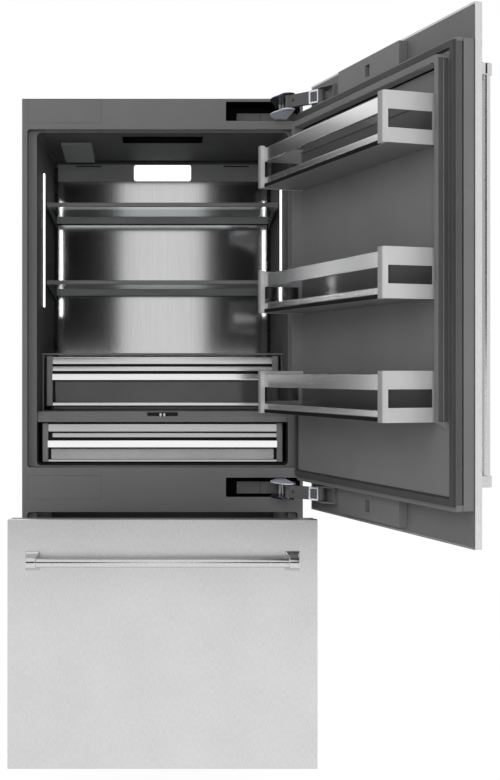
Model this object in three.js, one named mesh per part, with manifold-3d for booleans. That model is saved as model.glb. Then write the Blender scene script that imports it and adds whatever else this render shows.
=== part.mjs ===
// A 36 inch class built-in bottom freezer refrigerator, shown with its door open and its freezer drawer
// pulled part way out. Millimetres, +Z up. X = 0 is the middle of the cabinet, Z = 0 is the floor, and
// Y = 0 is the middle of the kick panel, whose sole is the origin. The fronts face -Y.
import * as THREE from "three";
import { mergeVertices } from "three/addons/utils/BufferGeometryUtils.js";
import Module from "manifold-3d";

const wasm = await Module();
wasm.setup();

// ---- Driving dimensions: cabinet ----
const cabinetWidth = 899;
const cabinetDepth = 610;
const cabinetTop = 2119;
const cabinetBottom = 96;
const kickSetback = 60; // kick panel's middle behind the cabinet front
const flangeWidth = 16.5; // sealing flange at each side of the front frame
const frameDepth = 38; // depth of the rebate that takes the door's raised rim
const ledgeWidth = 27; // step from the rebate to the liner's mouth
const rebateStep = 4; // rebate above the ceiling and below the floor
const linerWall = 3;
const linerTaper = 12; // each side wall leans in by this much, front to back
const rearWall = 25; // foam and sheet behind the liners
const seat = 0.3; // clearance where one piece rests on another
const splitHeight = 814; // middle of the gap between the door and the drawer
const mullionAbove = 128; // from there up to the cold floor
const mullionBelow = 22; // and down to the freezer's ceiling
const headHeight = 101; // cabinet top above the cold ceiling
const sillHeight = 22; // freezer floor above the cabinet's underside
const bayHeight = 229; // machine bay, at the bottom of the rear
const bayDepth = 226;
const stepWall = 11; // foam between the bay and the freezer's stepped floor
const stepRise = 20;

// ---- Driving dimensions: fronts ----
const panelOverhang = 4.5; // panels past each side of the cabinet
const panelThickness = 20;
const panelRise = 15; // door panel above the cabinet
const panelDrop = 14; // drawer panel below the cabinet
const panelGap = 4;
const boxThickness = 50;
const boxInset = 3; // insulated box inside the panel's edges
const sealAbove = 24; // boxes past the rebates that they close
const sealBelow = 30;
const drawerSealBelow = 16;
const gasketThickness = 10;
const gasketWidth = 14;
const sealGap = 0.5;
const rimHeight = 28; // raised rim of the door liner above its flat
const rimWidth = 22;
const rimClearance = 9; // rim inside the rebate
const rimRaise = 160; // the rim ends above the lower crisper
const linerFlat = 4; // door liner's sheet above the box

// ---- Driving dimensions: door motion ----
const doorOpen = 108.3; // degrees at rest
const drawerOut = 246.5; // travel at rest
const poleOutside = 16.6; // virtual hinge centre outside the panel's edge
const poleBehind = 8.6; // and behind its outer face
const pocketInset = 9.5;
const pocketWidth = 237;
const blankShift = 16; // the covered pockets lie further from the edge
const pocketHeight = 62;
const pocketDepth = 90;
const hingeOffset = 33; // hinge's middle height beyond the box's edge
const anchorInset = 69.5; // cabinet pivot of the hinge
const anchorDepth = 8;
const doorPivotInset = 118; // door pivot from the hinge edge
const doorPivotLift = 22; // and above the panel's back
const linkWidth = 26;
const leafThickness = 5;
const leafSpan = 52; // over both leaves
const pinRadius = 5;
const pinClearance = 0.4;

// ---- Driving dimensions: inside ----
const ductDepth = 37; // duct covers stand this far off the liners' rear walls
const shelfFront = 205; // depth of the shelves' front edge
const shelfGap = 12; // shelves' rear edge to the back panel
const glassThickness = 5;
const middleShelfRise = 247; // above the upper drawer's cover
const upperShelfRise = 262; // above the middle shelf
const lowerCrisperHeight = 136;
const deckSpace = 4;
const deckFront = 45;
const deckHeight = 35;
const deckPlate = 12;
const upperCrisperFront = 168;
const upperCrisperHeight = 181;
const coverSpace = 8;
const lowerCrisperFront = 70;
const crisperGap = 26; // crispers' rear to the back panel
const crisperWall = 3;
const binFrontLift = 219; // bins' front above the panel's back
const binHingeInset = 55;
const binFreeInset = 78;
const binRise = 18.5; // lowest bin above the rim's end
const middleBinRise = 301;
const upperBinRise = 377;
const binHeight = 126;
const binCapReach = 20; // bins' end caps stand past their rails
const binCapWidth = 26;
const binUpperBand = 45;
const binLowerBand = 36;
const binWall = 4;

// ---- Driving dimensions: handles ----
const barRadius = 14.5;
const barStandoff = 45; // bar's middle ahead of the panel
const doorHandleLength = 1042;
const doorHandleRise = 665; // its middle above the panel's lower edge
const doorHandleInset = 58;
const drawerHandleLength = 790;
const drawerHandleDrop = 120; // below the panel's upper edge
const postWidth = 28;
const postBaseWidth = 43;
const postBaseHeight = 56;

// ---- Places worked out from them ----
const frontY = -kickSetback;
const depth = (d) => frontY + d; // a place behind the cabinet front
const halfCabinet = cabinetWidth / 2;
const rebateHalf = halfCabinet - flangeWidth;
const openingHalf = rebateHalf - ledgeWidth;
const coldFloor = splitHeight + mullionAbove;
const coldCeiling = cabinetTop - headHeight;
const freezerFloor = cabinetBottom + sillHeight;
const freezerCeiling = splitHeight - mullionBelow;
const bayTop = cabinetBottom + bayHeight;
const freezerStepDepth = cabinetDepth - bayDepth - frameDepth - stepWall;
const freezerStepFloor = bayTop + stepRise;
const linerMouth = frameDepth;
const linerDepth = cabinetDepth - frameDepth - rearWall;
const linerBack = linerMouth + linerDepth;
const halfAt = (d) => openingHalf - (linerTaper * (d - linerMouth)) / linerDepth;
const backPanelDepth = linerBack - ductDepth;
const shelfBack = backPanelDepth - shelfGap;
const crisperBack = backPanelDepth - crisperGap;
const lowerCrisperTop = coldFloor + lowerCrisperHeight;
const deckBottom = lowerCrisperTop + deckSpace;
const deckTop = deckBottom + deckHeight;
const backPanelBottom = deckTop + 11;
const upperCrisperTop = deckTop + upperCrisperHeight;
const coverShelfTop = upperCrisperTop + coverSpace;
const middleShelfTop = coverShelfTop + middleShelfRise;
const upperShelfTop = middleShelfTop + upperShelfRise;
const coldRebateTop = coldCeiling + rebateStep;
const coldRebateBottom = coldFloor - rebateStep;
const freezerRebateTop = freezerCeiling + rebateStep;
const freezerRebateBottom = freezerFloor - rebateStep;
const panelWidth = cabinetWidth + 2 * panelOverhang;
const doorPanelTop = cabinetTop + panelRise;
const doorPanelBottom = splitHeight + panelGap / 2;
const drawerPanelTop = splitHeight - panelGap / 2;
const drawerPanelBottom = cabinetBottom - panelDrop;
const doorBoxTop = coldRebateTop + sealAbove;
const doorBoxBottom = coldRebateBottom - sealBelow;
const drawerBoxTop = drawerPanelTop - boxInset;
const drawerBoxBottom = freezerRebateBottom - drawerSealBelow;
const rimBottom = coldFloor + rimRaise;
const stackDepth = panelThickness + boxThickness + gasketThickness + sealGap;
const closedFace = frontY - stackDepth; // outer face of a closed panel
const lift = (q) => closedFace + q; // a place behind a closed panel's outer face
const halfPanel = panelWidth / 2;
const poleX = halfPanel + poleOutside;
const poleY = closedFace + poleBehind;
const backOfBox = panelThickness + boxThickness;
const upperHingeHeight = doorBoxTop + hingeOffset;
const lowerHingeHeight = doorBoxBottom - hingeOffset;
const pocketHeights = [upperHingeHeight, lowerHingeHeight];
const pocketRight = halfCabinet - pocketInset;
const pocketLeft = pocketRight - pocketWidth;
const anchorX = halfCabinet - anchorInset;
const lowerBinBottom = rimBottom + binRise;
const middleBinBottom = lowerBinBottom + middleBinRise;
const binHeights = [middleBinBottom + upperBinRise, middleBinBottom, lowerBinBottom];
const doorHandleMiddle = doorPanelBottom + doorHandleRise;
const drawerHandleHeight = drawerPanelTop - drawerHandleDrop;

// ---- Solids ----
const toManifold = (geometry) => {
  const g = geometry.clone();
  g.deleteAttribute("normal");
  g.deleteAttribute("uv");
  const merged = mergeVertices(g, 1e-4);
  return new wasm.Manifold(
    new wasm.Mesh({
      numProp: 3,
      vertProperties: new Float32Array(merged.attributes.position.array),
      triVerts: new Uint32Array(merged.index.array),
    }),
  );
};

const toGeometry = (manifold) => {
  const mesh = manifold.getMesh();
  const geometry = new THREE.BufferGeometry();
  geometry.setAttribute("position", new THREE.BufferAttribute(new Float32Array(mesh.vertProperties), 3));
  geometry.setIndex(new THREE.BufferAttribute(new Uint32Array(mesh.triVerts), 1));
  geometry.computeVertexNormals();
  return geometry;
};

const union = (...solids) => solids.flat().reduce((a, b) => a.add(b));
const cut = (solid, ...tools) => tools.flat().reduce((a, b) => a.subtract(b), solid);

// A block between two corners.
const block = (x0, x1, y0, y1, z0, z1) => {
  const g = new THREE.BoxGeometry(x1 - x0, y1 - y0, z1 - z0);
  g.translate((x0 + x1) / 2, (y0 + y1) / 2, (z0 + z1) / 2);
  return toManifold(g);
};

// A rectangle with round corners, as a Shape or as a Path for a hole.
const roundRect = (x0, x1, y0, y1, r, Kind = THREE.Shape) => {
  const s = new Kind();
  s.moveTo(x0 + r, y0);
  s.lineTo(x1 - r, y0);
  s.absarc(x1 - r, y0 + r, r, -Math.PI / 2, 0, false);
  s.lineTo(x1, y1 - r);
  s.absarc(x1 - r, y1 - r, r, 0, Math.PI / 2, false);
  s.lineTo(x0 + r, y1);
  s.absarc(x0 + r, y1 - r, r, Math.PI / 2, Math.PI, false);
  s.lineTo(x0, y0 + r);
  s.absarc(x0 + r, y0 + r, r, Math.PI, Math.PI * 1.5, false);
  return s;
};

const outline = (points) => new THREE.Shape(points.map(([a, b]) => new THREE.Vector2(a, b)));

const extrude = (shape, length, segments = 3) =>
  new THREE.ExtrudeGeometry(shape, { depth: length, bevelEnabled: false, curveSegments: segments });

// A shape drawn in X and Z, made solid from y0 to y1.
const slabY = (shape, y0, y1, segments) => {
  const g = extrude(shape, y1 - y0, segments);
  g.rotateX(Math.PI / 2);
  g.translate(0, y1, 0);
  return toManifold(g);
};

// A shape drawn in X and Y, made solid from z0 to z1.
const slabZ = (shape, z0, z1, segments) => {
  const g = extrude(shape, z1 - z0, segments);
  g.translate(0, 0, z0);
  return toManifold(g);
};

// A shape drawn in Y and Z, made solid from x0 to x1.
const slabX = (shape, x0, x1, segments) => {
  const g = extrude(shape, x1 - x0, segments);
  const axes = new THREE.Matrix4().makeBasis(
    new THREE.Vector3(0, 1, 0),
    new THREE.Vector3(0, 0, 1),
    new THREE.Vector3(1, 0, 0),
  );
  g.applyMatrix4(axes);
  g.translate(x0, 0, 0);
  return toManifold(g);
};

// A round bar between two points along one axis.
const rod = (axis, radius, at, from, to, sides) => {
  const g = new THREE.CylinderGeometry(radius, radius, to - from, sides);
  g.translate(0, (from + to) / 2, 0);
  if (axis === "x") {
    g.rotateZ(-Math.PI / 2);
    g.translate(0, at[0], at[1]);
  } else if (axis === "y") {
    g.translate(at[0], 0, at[1]);
  } else {
    g.rotateX(Math.PI / 2);
    g.translate(at[0], at[1], 0);
  }
  return toManifold(g);
};

// A solid between two rings of points that run the same way round.
const loft = (ringA, ringB) => {
  const n = ringA.length;
  const points = [...ringA, ...ringB];
  const middle = (ring) =>
    ring.reduce((m, p) => [m[0] + p[0] / n, m[1] + p[1] / n, m[2] + p[2] / n], [0, 0, 0]);
  points.push(middle(ringA), middle(ringB));
  const index = [];
  for (let i = 0; i < n; i++) {
    const j = (i + 1) % n;
    index.push(i, j, n + j, i, n + j, n + i, 2 * n, j, i, 2 * n + 1, n + i, n + j);
  }
  const g = new THREE.BufferGeometry();
  g.setAttribute("position", new THREE.BufferAttribute(new Float32Array(points.flat()), 3));
  g.setIndex(index);
  const solid = toManifold(g);
  if (solid.volume() > 0) return solid;
  const flipped = [];
  for (let i = 0; i < index.length; i += 3) flipped.push(index[i], index[i + 2], index[i + 1]);
  g.setIndex(flipped);
  return toManifold(g);
};

// A ring of points round a rectangle with round corners, put in space by place(a, b).
const cornerSteps = 3;
const ringPoints = (x0, x1, v0, v1, r, place) => {
  const corners = [
    [x1 - r, v0 + r],
    [x1 - r, v1 - r],
    [x0 + r, v1 - r],
    [x0 + r, v0 + r],
  ];
  return corners.flatMap(([cx, cv], corner) =>
    Array.from({ length: cornerSteps + 1 }, (_, step) => {
      const angle = ((corner - 1 + step / cornerSteps) * Math.PI) / 2;
      return place(cx + r * Math.cos(angle), cv + r * Math.sin(angle));
    }),
  );
};

// ---- Materials ----
const finish = (color, roughness, metalness) =>
  new THREE.MeshStandardMaterial({ color, roughness, metalness });
const stainless = finish(0xc9cacc, 0.35, 0.9);
const graphite = finish(0x5f6062, 0.5, 0.3);
const linerGrey = finish(0x4c4d50, 0.45, 0.2);
const steelSheet = finish(0xa6a8ab, 0.4, 0.8);
const chrome = finish(0xe2e4e8, 0.12, 1);
const aluminium = finish(0xb9bbbb, 0.4, 0.7);
const clearGlass = new THREE.MeshStandardMaterial({
  color: 0xbfcacb,
  roughness: 0.05,
  metalness: 0,
  transparent: true,
  opacity: 0.35,
});
const smokedPlastic = finish(0x6e7073, 0.25, 0);
const blackPlastic = finish(0x141415, 0.4, 0);
const lampWhite = finish(0xffffff, 0.3, 0);
const gasketGrey = finish(0x3a3a3c, 0.8, 0);
const darkSteel = finish(0x3c3f43, 0.5, 0.6);
const galvanised = finish(0x9a9d9f, 0.5, 0.7);

const refrigerator = new THREE.Group();
const part = (parent, name, solid, material) => {
  const mesh = new THREE.Mesh(toGeometry(solid), material);
  mesh.name = name;
  parent.add(mesh);
  return mesh;
};

// ---- Cabinet: front frame, foamed shell and liners ----
const cornerRadius = 10;
const frameHole = (z0, z1) => roundRect(-rebateHalf, rebateHalf, z0, z1, cornerRadius, THREE.Path);
const pocketBounds = (z) => [z - pocketHeight / 2, z + pocketHeight / 2];
const blankMargin = 6; // blank cover reaches past the pocket that it closes
const blankThickness = 2;
const blankRecess = blankThickness + seat;

const buildFrontFrame = () => {
  const shape = roundRect(-halfCabinet, halfCabinet, cabinetBottom, cabinetTop, 2);
  shape.holes.push(frameHole(coldRebateBottom, coldRebateTop));
  shape.holes.push(frameHole(freezerRebateBottom, freezerRebateTop));
  for (const z of pocketHeights) {
    const [z0, z1] = pocketBounds(z);
    shape.holes.push(roundRect(pocketLeft, pocketRight, z0, z1, 3, THREE.Path));
    shape.holes.push(roundRect(-pocketRight + blankShift, -pocketLeft, z0, z1, 3, THREE.Path));
  }
  const frame = slabY(shape, frontY, depth(frameDepth), 2);
  const seats = pocketHeights.map((z) => blankOutline(z, seat, frontY - 1, frontY + blankRecess));
  return cut(frame, seats);
};

// The blank plates over the unused hinge pockets, where the hinges go when the door is hung left.
const blankOutline = (z, grow, y0, y1) => {
  const [z0, z1] = pocketBounds(z);
  const m = blankMargin + grow;
  return slabY(roundRect(-pocketRight + blankShift - m, -pocketLeft + m, z0 - m, z1 + m, 3), y0, y1, 2);
};

// Feet in front and rollers behind carry the cabinet; the rollers' forks are welded under the shell.
const footX = halfCabinet - 69.5;
const footY = kickSetback;
const footRadius = 22;
const footStem = 8;
const footHeadroom = 4;
const socketRadius = 14;
const socketBottom = 50;
const buildFootSocket = (x) =>
  cut(
    rod("z", socketRadius, [x, footY], socketBottom, cabinetBottom + 1, 20),
    rod("z", footStem + pinClearance, [x, footY], socketBottom - 1, cabinetBottom - 1, 16),
  );
const rollerRadius = 28;
const rollerWidth = 26;
const rollerY = depth(cabinetDepth - 70);
const axleRadius = 5;
const buildRoller = (x) => {
  const half = rollerWidth / 2;
  const wheel = rod("x", rollerRadius, [rollerY, rollerRadius], x - half, x + half, 28);
  return cut(
    wheel,
    rod("x", axleRadius + pinClearance, [rollerY, rollerRadius], x - rollerWidth, x + rollerWidth, 16),
  );
};
const forkWall = 4;
const forkGap = 1.2;
const buildRollerFork = (x) => {
  const inner = rollerWidth / 2 + forkGap;
  const cheek = (s) =>
    slabX(
      outline([
        [rollerY - 12, rollerRadius - 10],
        [rollerY + 12, rollerRadius - 10],
        [rollerY + 26, cabinetBottom + 1],
        [rollerY - 26, cabinetBottom + 1],
      ]),
      s > 0 ? x + inner : x - inner - forkWall,
      s > 0 ? x + inner + forkWall : x - inner,
    );
  const bridge = block(
    x - inner - forkWall,
    x + inner + forkWall,
    rollerY - 26,
    rollerY + 26,
    cabinetBottom - 8,
    cabinetBottom + 1,
  );
  const axleHalf = inner + forkWall + 2;
  const axle = rod("x", axleRadius, [rollerY, rollerRadius], x - axleHalf, x + axleHalf, 12);
  return union(cheek(1), cheek(-1), bridge, axle);
};
const shellBack = linerBack + linerWall + seat;
const buildShell = () => {
  const front = depth(frameDepth);
  const body = block(-halfCabinet, halfCabinet, front, depth(cabinetDepth), cabinetBottom, cabinetTop);
  const outer = openingHalf + linerWall + seat;
  const wall = linerWall + seat;
  const cold = block(-outer, outer, front - 1, depth(shellBack), coldFloor - wall, coldCeiling + wall);
  const stepFront = freezerStepDepth + wall;
  const freezerLow = block(
    -outer,
    outer,
    depth(frameDepth) - 1,
    depth(frameDepth + stepFront),
    freezerFloor - wall,
    freezerCeiling + wall,
  );
  const freezerHigh = block(
    -outer,
    outer,
    depth(frameDepth + stepFront) - 1,
    depth(shellBack),
    freezerStepFloor - wall,
    freezerCeiling + wall,
  );
  const bayHalf = halfCabinet - 22;
  const bayFloor = cabinetBottom + 6;
  const bay = block(
    -bayHalf,
    bayHalf,
    depth(cabinetDepth - bayDepth),
    depth(cabinetDepth) + 1,
    bayFloor,
    bayTop,
  );
  const pockets = pocketHeights.flatMap((z) => {
    const [z0, z1] = pocketBounds(z);
    return [
      block(pocketLeft, pocketRight, depth(frameDepth) - 1, depth(pocketDepth), z0, z1),
      block(-pocketRight + blankShift, -pocketLeft, depth(frameDepth) - 1, depth(pocketDepth), z0, z1),
    ];
  });
  const carriers = [-footX, footX].flatMap((x) => [buildRollerFork(x), buildFootSocket(x)]);
  return union(cut(body, cold, freezerLow, freezerHigh, bay, pockets), carriers);
};

const flangeInside = 0.5; // liner flange inside the rebate's edge
const linerFlange = (z0, z1) => {
  const half = rebateHalf - flangeInside;
  const shape = roundRect(-half, half, z0 + flangeInside, z1 - flangeInside, cornerRadius);
  return slabY(shape, depth(frameDepth - linerWall), depth(frameDepth), 3);
};

const crisperRibHeight = 2.7;
const crisperBottom = coldFloor + crisperRibHeight + seat;
const buildColdLiner = () => {
  const radius = 14;
  const mouth = (grow, d) => {
    const half = halfAt(d) + grow;
    const place = (x, z) => [x, depth(d), z];
    return ringPoints(-half, half, coldFloor - grow, coldCeiling + grow, radius, place);
  };
  const tub = (grow, d0, d1) => loft(mouth(grow, d0), mouth(grow, d1));
  const outer = tub(linerWall, frameDepth - linerWall, linerBack + linerWall);
  const inner = tub(0, frameDepth - linerWall - 1, linerBack);
  const shell = cut(union(linerFlange(coldRebateBottom, coldRebateTop), outer), inner);
  const ribs = [-1, 1].map((s) =>
    block(
      s * 330 - 15,
      s * 330 + 15,
      depth(lowerCrisperFront),
      depth(crisperBack + 8),
      coldFloor - 1,
      coldFloor + crisperRibHeight,
    ),
  );
  return union(shell, ribs);
};

const buildFreezerLiner = () => {
  const profile = (grow, front, back) =>
    outline([
      [depth(front), freezerFloor - grow],
      [depth(frameDepth + freezerStepDepth) + grow, freezerFloor - grow],
      [depth(frameDepth + freezerStepDepth) + grow, freezerStepFloor - grow],
      [depth(back), freezerStepFloor - grow],
      [depth(back), freezerCeiling + grow],
      [depth(front), freezerCeiling + grow],
    ]);
  const half = openingHalf + linerWall;
  const outer = slabX(profile(linerWall, frameDepth - linerWall, linerBack + linerWall), -half, half);
  const inner = slabX(profile(0, frameDepth - linerWall - 1, linerBack), -openingHalf, openingHalf);
  return cut(union(linerFlange(freezerRebateBottom, freezerRebateTop), outer), inner);
};

part(refrigerator, "front_frame", buildFrontFrame(), graphite);
part(refrigerator, "cabinet_shell", buildShell(), steelSheet);
part(refrigerator, "fridge_liner", buildColdLiner(), linerGrey);
part(refrigerator, "freezer_liner", buildFreezerLiner(), linerGrey);
["upper", "lower"].forEach((name, i) => {
  const plate = blankOutline(pocketHeights[i], 0, frontY, frontY + blankThickness);
  part(refrigerator, `hinge_blank_${name}`, plate, graphite);
});

// ---- Duct covers with their evaporators and fans ----
// A cover is a shallow tray: a sheet across the back, with returns that stand on the liner's rear wall.
const coverSheet = 2;
const buildDuctCover = (z0, z1, fanHeight, vents, half) => {
  const back = depth(linerBack) - seat;
  const y = depth(backPanelDepth);
  const tray = cut(
    slabY(roundRect(-half, half, z0, z1, 4), y, back, 2),
    block(coverSheet - half, half - coverSheet, y + coverSheet, back + 1, z0 + coverSheet, z1 - coverSheet),
  );
  const slots = vents.map(([x0, x1, v0, v1]) => block(x0, x1, y - 1, y + coverSheet + 1, v0, v1));
  const motor = rod("y", 20, [0, fanHeight], y + coverSheet - 0.5, y + 9, 20);
  const spindle = rod("y", 2.5, [0, fanHeight], y + 8, y + 21, 10);
  return union(cut(tray, slots), motor, spindle);
};

const buildAxialFan = (centre, radius, hub, thickness, y, blades, bore) => {
  const disc = rod("y", hub, [0, 0], 0, thickness, 20);
  const fins = [];
  for (let i = 0; i < blades; i++) {
    const g = new THREE.BoxGeometry(radius - hub + 3, 1.6, thickness * 0.95);
    g.translate((radius + hub - 3) / 2, 0, 0);
    g.rotateX(THREE.MathUtils.degToRad(52));
    g.translate(0, thickness / 2, 0);
    g.rotateY((i * 2 * Math.PI) / blades);
    fins.push(toManifold(g));
  }
  const fan = cut(union(disc, fins), rod("y", bore, [0, 0], -1, thickness - 3, 10));
  const placed = toGeometry(fan);
  placed.translate(centre[0], y, centre[1]);
  return toManifold(placed);
};

// A finned coil: a comb of plate fins on a rear spine, with two tube runs whose ends stand past it.
const finThickness = 3;
const spineThickness = 6;
const tubeRadius = 4;
const tubeEnd = 8;
const buildFinnedCoil = (x0, x1, y0, y1, z0, z1, fins) => {
  const pitch = (x1 - x0 - finThickness) / (fins - 1);
  const points = [[x1, y1]];
  points.push([x0, y1]);
  for (let i = 0; i < fins; i++) {
    const x = x0 + i * pitch;
    const back = y1 - spineThickness;
    if (i > 0) points.push([x, back]);
    points.push([x, y0], [x + finThickness, y0]);
    if (i < fins - 1) points.push([x + finThickness, back]);
  }
  const comb = slabZ(outline(points), z0, z1);
  const rows = [0.2, 0.4, 0.6, 0.8].flatMap((share) => {
    const at = [(y0 + y1) / 2, z0 + share * (z1 - z0)];
    return [
      rod("x", tubeRadius, at, x0 - tubeEnd, x0 + 1, 8),
      rod("x", tubeRadius, at, x1 - 1, x1 + tubeEnd, 8),
    ];
  });
  return union(comb, rows);
};

const ladderWidth = 12;
const ladderDepth = 10;
const ladderBottom = coverShelfTop + 24;
const ladderTop = coldCeiling - 28;
const ladderPitch = 90;
const ladderSlot = 16;
const slotInset = 10;
const buildLadder = (sign) => {
  const y1 = depth(backPanelDepth) + coverSheet / 2;
  const y0 = depth(backPanelDepth) - ladderDepth;
  const outside = halfAt(backPanelDepth) - seat;
  const x0 = sign > 0 ? outside - ladderWidth : -outside;
  const rail = block(x0, x0 + ladderWidth, y0, y1, ladderBottom, ladderTop);
  const slots = [];
  for (let z = ladderBottom + slotInset; z + ladderSlot < ladderTop; z += ladderPitch) {
    slots.push(block(x0 + 4, x0 + ladderWidth - 4, y0 - 1, y0 + 7, z, z + ladderSlot));
  }
  return cut(rail, slots);
};
const coverHalf = halfAt(linerBack) - seat;
const lampHalf = 104;
const lampTop = coldCeiling - 17;
const lampBottom = lampTop - 57;
const coldFanHeight = coverShelfTop + 314;
const coverTop = coldCeiling - 12;
const ventHeight = 7;
const coldVentNear = 222;
const coldVentFar = 317;
const coldVentTop = coverTop - 5;
const coldVents = [
  [-coldVentFar, -coldVentNear, coldVentTop - ventHeight, coldVentTop],
  [coldVentNear, coldVentFar, coldVentTop - ventHeight, coldVentTop],
];
const coldCoilHalf = 250;
const coldCoilBottom = backPanelBottom + 45;
const coldCoilHeight = 240;
const coldCoilFins = 12;
part(
  refrigerator,
  "fridge_back_panel",
  union(
    buildDuctCover(backPanelBottom, coverTop, coldFanHeight, coldVents, coverHalf),
    buildLadder(-1),
    buildLadder(1),
  ),
  stainless,
);
const fanThickness = 18;
const fanBlades = 6;
const fanY = depth(backPanelDepth) + 9 + seat;
const fanBore = 2.5 + pinClearance;
part(
  refrigerator,
  "fridge_fan",
  buildAxialFan([0, coldFanHeight], 62, 22, fanThickness, fanY, fanBlades, fanBore),
  blackPlastic,
);
const coilFront = depth(backPanelDepth + coverSheet) + seat;
const coilBack = depth(linerBack) - seat;
part(
  refrigerator,
  "fridge_evaporator",
  buildFinnedCoil(
    -coldCoilHalf,
    coldCoilHalf,
    coilFront,
    coilBack,
    coldCoilBottom,
    coldCoilBottom + coldCoilHeight,
    coldCoilFins,
  ),
  aluminium,
);

const freezerFanHeight = freezerCeiling - 92;
const freezerVentTop = freezerCeiling - 42;
const freezerVentPlaces = [-260, -90, 90, 260];
const freezerVentHalf = 55;
const freezerVents = freezerVentPlaces.map((x) => [
  x - freezerVentHalf,
  x + freezerVentHalf,
  freezerVentTop - ventHeight,
  freezerVentTop,
]);
const freezerCoilHalf = 280;
const freezerCoilBottom = freezerStepFloor + 30;
const freezerCoilHeight = 225;
const freezerCoilFins = 13;
const freezerCoverHalf = openingHalf - seat;
part(
  refrigerator,
  "freezer_back_panel",
  buildDuctCover(
    freezerStepFloor + seat,
    freezerCeiling - 6,
    freezerFanHeight,
    freezerVents,
    freezerCoverHalf,
  ),
  linerGrey,
);
part(
  refrigerator,
  "freezer_fan",
  buildAxialFan([0, freezerFanHeight], 55, 22, fanThickness, fanY, fanBlades, fanBore),
  blackPlastic,
);
part(
  refrigerator,
  "freezer_evaporator",
  buildFinnedCoil(
    -freezerCoilHalf,
    freezerCoilHalf,
    coilFront,
    coilBack,
    freezerCoilBottom,
    freezerCoilBottom + freezerCoilHeight,
    freezerCoilFins,
  ),
  aluminium,
);

// ---- Lamps, ceiling fittings and shelf ladders ----
const lensFront = backPanelDepth - 4;
part(
  refrigerator,
  "rear_lamp_lens",
  slabY(roundRect(-lampHalf, lampHalf, lampBottom, lampTop, 8), depth(lensFront), depth(backPanelDepth), 3),
  lampWhite,
);

const displayHalf = 132;
const displayFront = 104;
const displayDepth = 88;
const displayThickness = 4;
part(
  refrigerator,
  "ceiling_display_strip",
  slabZ(
    roundRect(-displayHalf, displayHalf, depth(displayFront), depth(displayFront + displayDepth), 3),
    coldCeiling - displayThickness - seat,
    coldCeiling - seat,
    2,
  ),
  blackPlastic,
);

// The air housing is a wedge that thickens to the rear and blows through a slot there.
const housingFront = 205;
const housingLength = 207;
const housingLeft = -342;
const housingWidth = 102;
const housingLip = 12;
const buildAirHousing = () => {
  const top = coldCeiling - seat;
  const front = depth(housingFront);
  const rear = front + housingLength;
  const wedge = slabX(
    outline([
      [front, top - 8],
      [rear, top - 30],
      [rear, top],
      [front, top],
    ]),
    housingLeft,
    housingLeft + housingWidth,
  );
  const outlet = block(
    housingLeft + housingLip,
    housingLeft + housingWidth - housingLip,
    rear - 30,
    rear + 1,
    top - 22,
    top - 8,
  );
  return cut(wedge, outlet);
};
part(refrigerator, "ceiling_air_housing", buildAirHousing(), graphite);

const ledDepth = 200;
const ledWidth = 26;
const ledThickness = 8;
const ledTop = coldCeiling - 103;
const ledLengths = { left: 452, right: 597 };
for (const [side, sign] of [["left", -1], ["right", 1]]) {
  const z0 = ledTop - ledLengths[side];
  const wallAt = halfAt(ledDepth + ledWidth) - seat;
  const x0 = sign > 0 ? wallAt - ledThickness : -wallAt;
  const bar = slabX(
    roundRect(depth(ledDepth), depth(ledDepth + ledWidth), z0, ledTop, 6),
    x0,
    x0 + ledThickness,
    3,
  );
  part(refrigerator, `led_bar_${side}`, bar, lampWhite);
}

// ---- Glass shelves: a framed pane on two cantilever brackets that hook on the ladders ----
const shelfHalf = halfAt(shelfBack) - 6;
const trimHeight = 14;
const trimDepth = 11;
const bracketDrop = 46;
const bracketThickness = 3;
const paneInset = 1;
const buildShelfFrame = (top) => {
  const under = top - glassThickness - seat;
  const front = slabX(
    outline([
      [depth(shelfFront - 3), top - trimHeight],
      [depth(shelfFront + trimDepth), top - trimHeight],
      [depth(shelfFront + trimDepth), under],
      [depth(shelfFront + 2), under],
      [depth(shelfFront + 2), top + 1],
      [depth(shelfFront - 1), top + 1],
      [depth(shelfFront - 3), top - 2],
    ]),
    -shelfHalf,
    shelfHalf,
  );
  const rear = block(-shelfHalf, shelfHalf, depth(shelfBack - 16), depth(shelfBack - 6), under - 9, under);
  const ladderFace = depth(backPanelDepth) - ladderDepth;
  const arms = [-1, 1].map((s) => {
    const x = s > 0 ? shelfHalf - bracketThickness : -shelfHalf;
    return slabX(
      outline([
        [depth(shelfFront + 4), under],
        [depth(shelfFront + 4), under - 8],
        [depth(shelfBack - 70), under - 14],
        [ladderFace - seat - 10, under - bracketDrop],
        [ladderFace - seat, under - bracketDrop],
        [ladderFace - seat, under],
      ]),
      x,
      x + bracketThickness,
    );
  });
  return union(front, rear, arms);
};
const buildShelfPane = (top) =>
  slabZ(
    roundRect(
      -shelfHalf + paneInset,
      shelfHalf - paneInset,
      depth(shelfFront + 2) + seat,
      depth(shelfBack - 4),
      3,
    ),
    top - glassThickness,
    top,
    2,
  );
for (const [name, top] of [["upper", upperShelfTop], ["middle", middleShelfTop]]) {
  part(refrigerator, `${name}_shelf_frame`, buildShelfFrame(top), aluminium);
  part(refrigerator, `${name}_shelf_glass`, buildShelfPane(top), clearGlass);
}

// The glass cover over the upper drawer lies on the back panel's side and on two side cleats of the deck.
const coverBottom = coverShelfTop - glassThickness;

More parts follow.
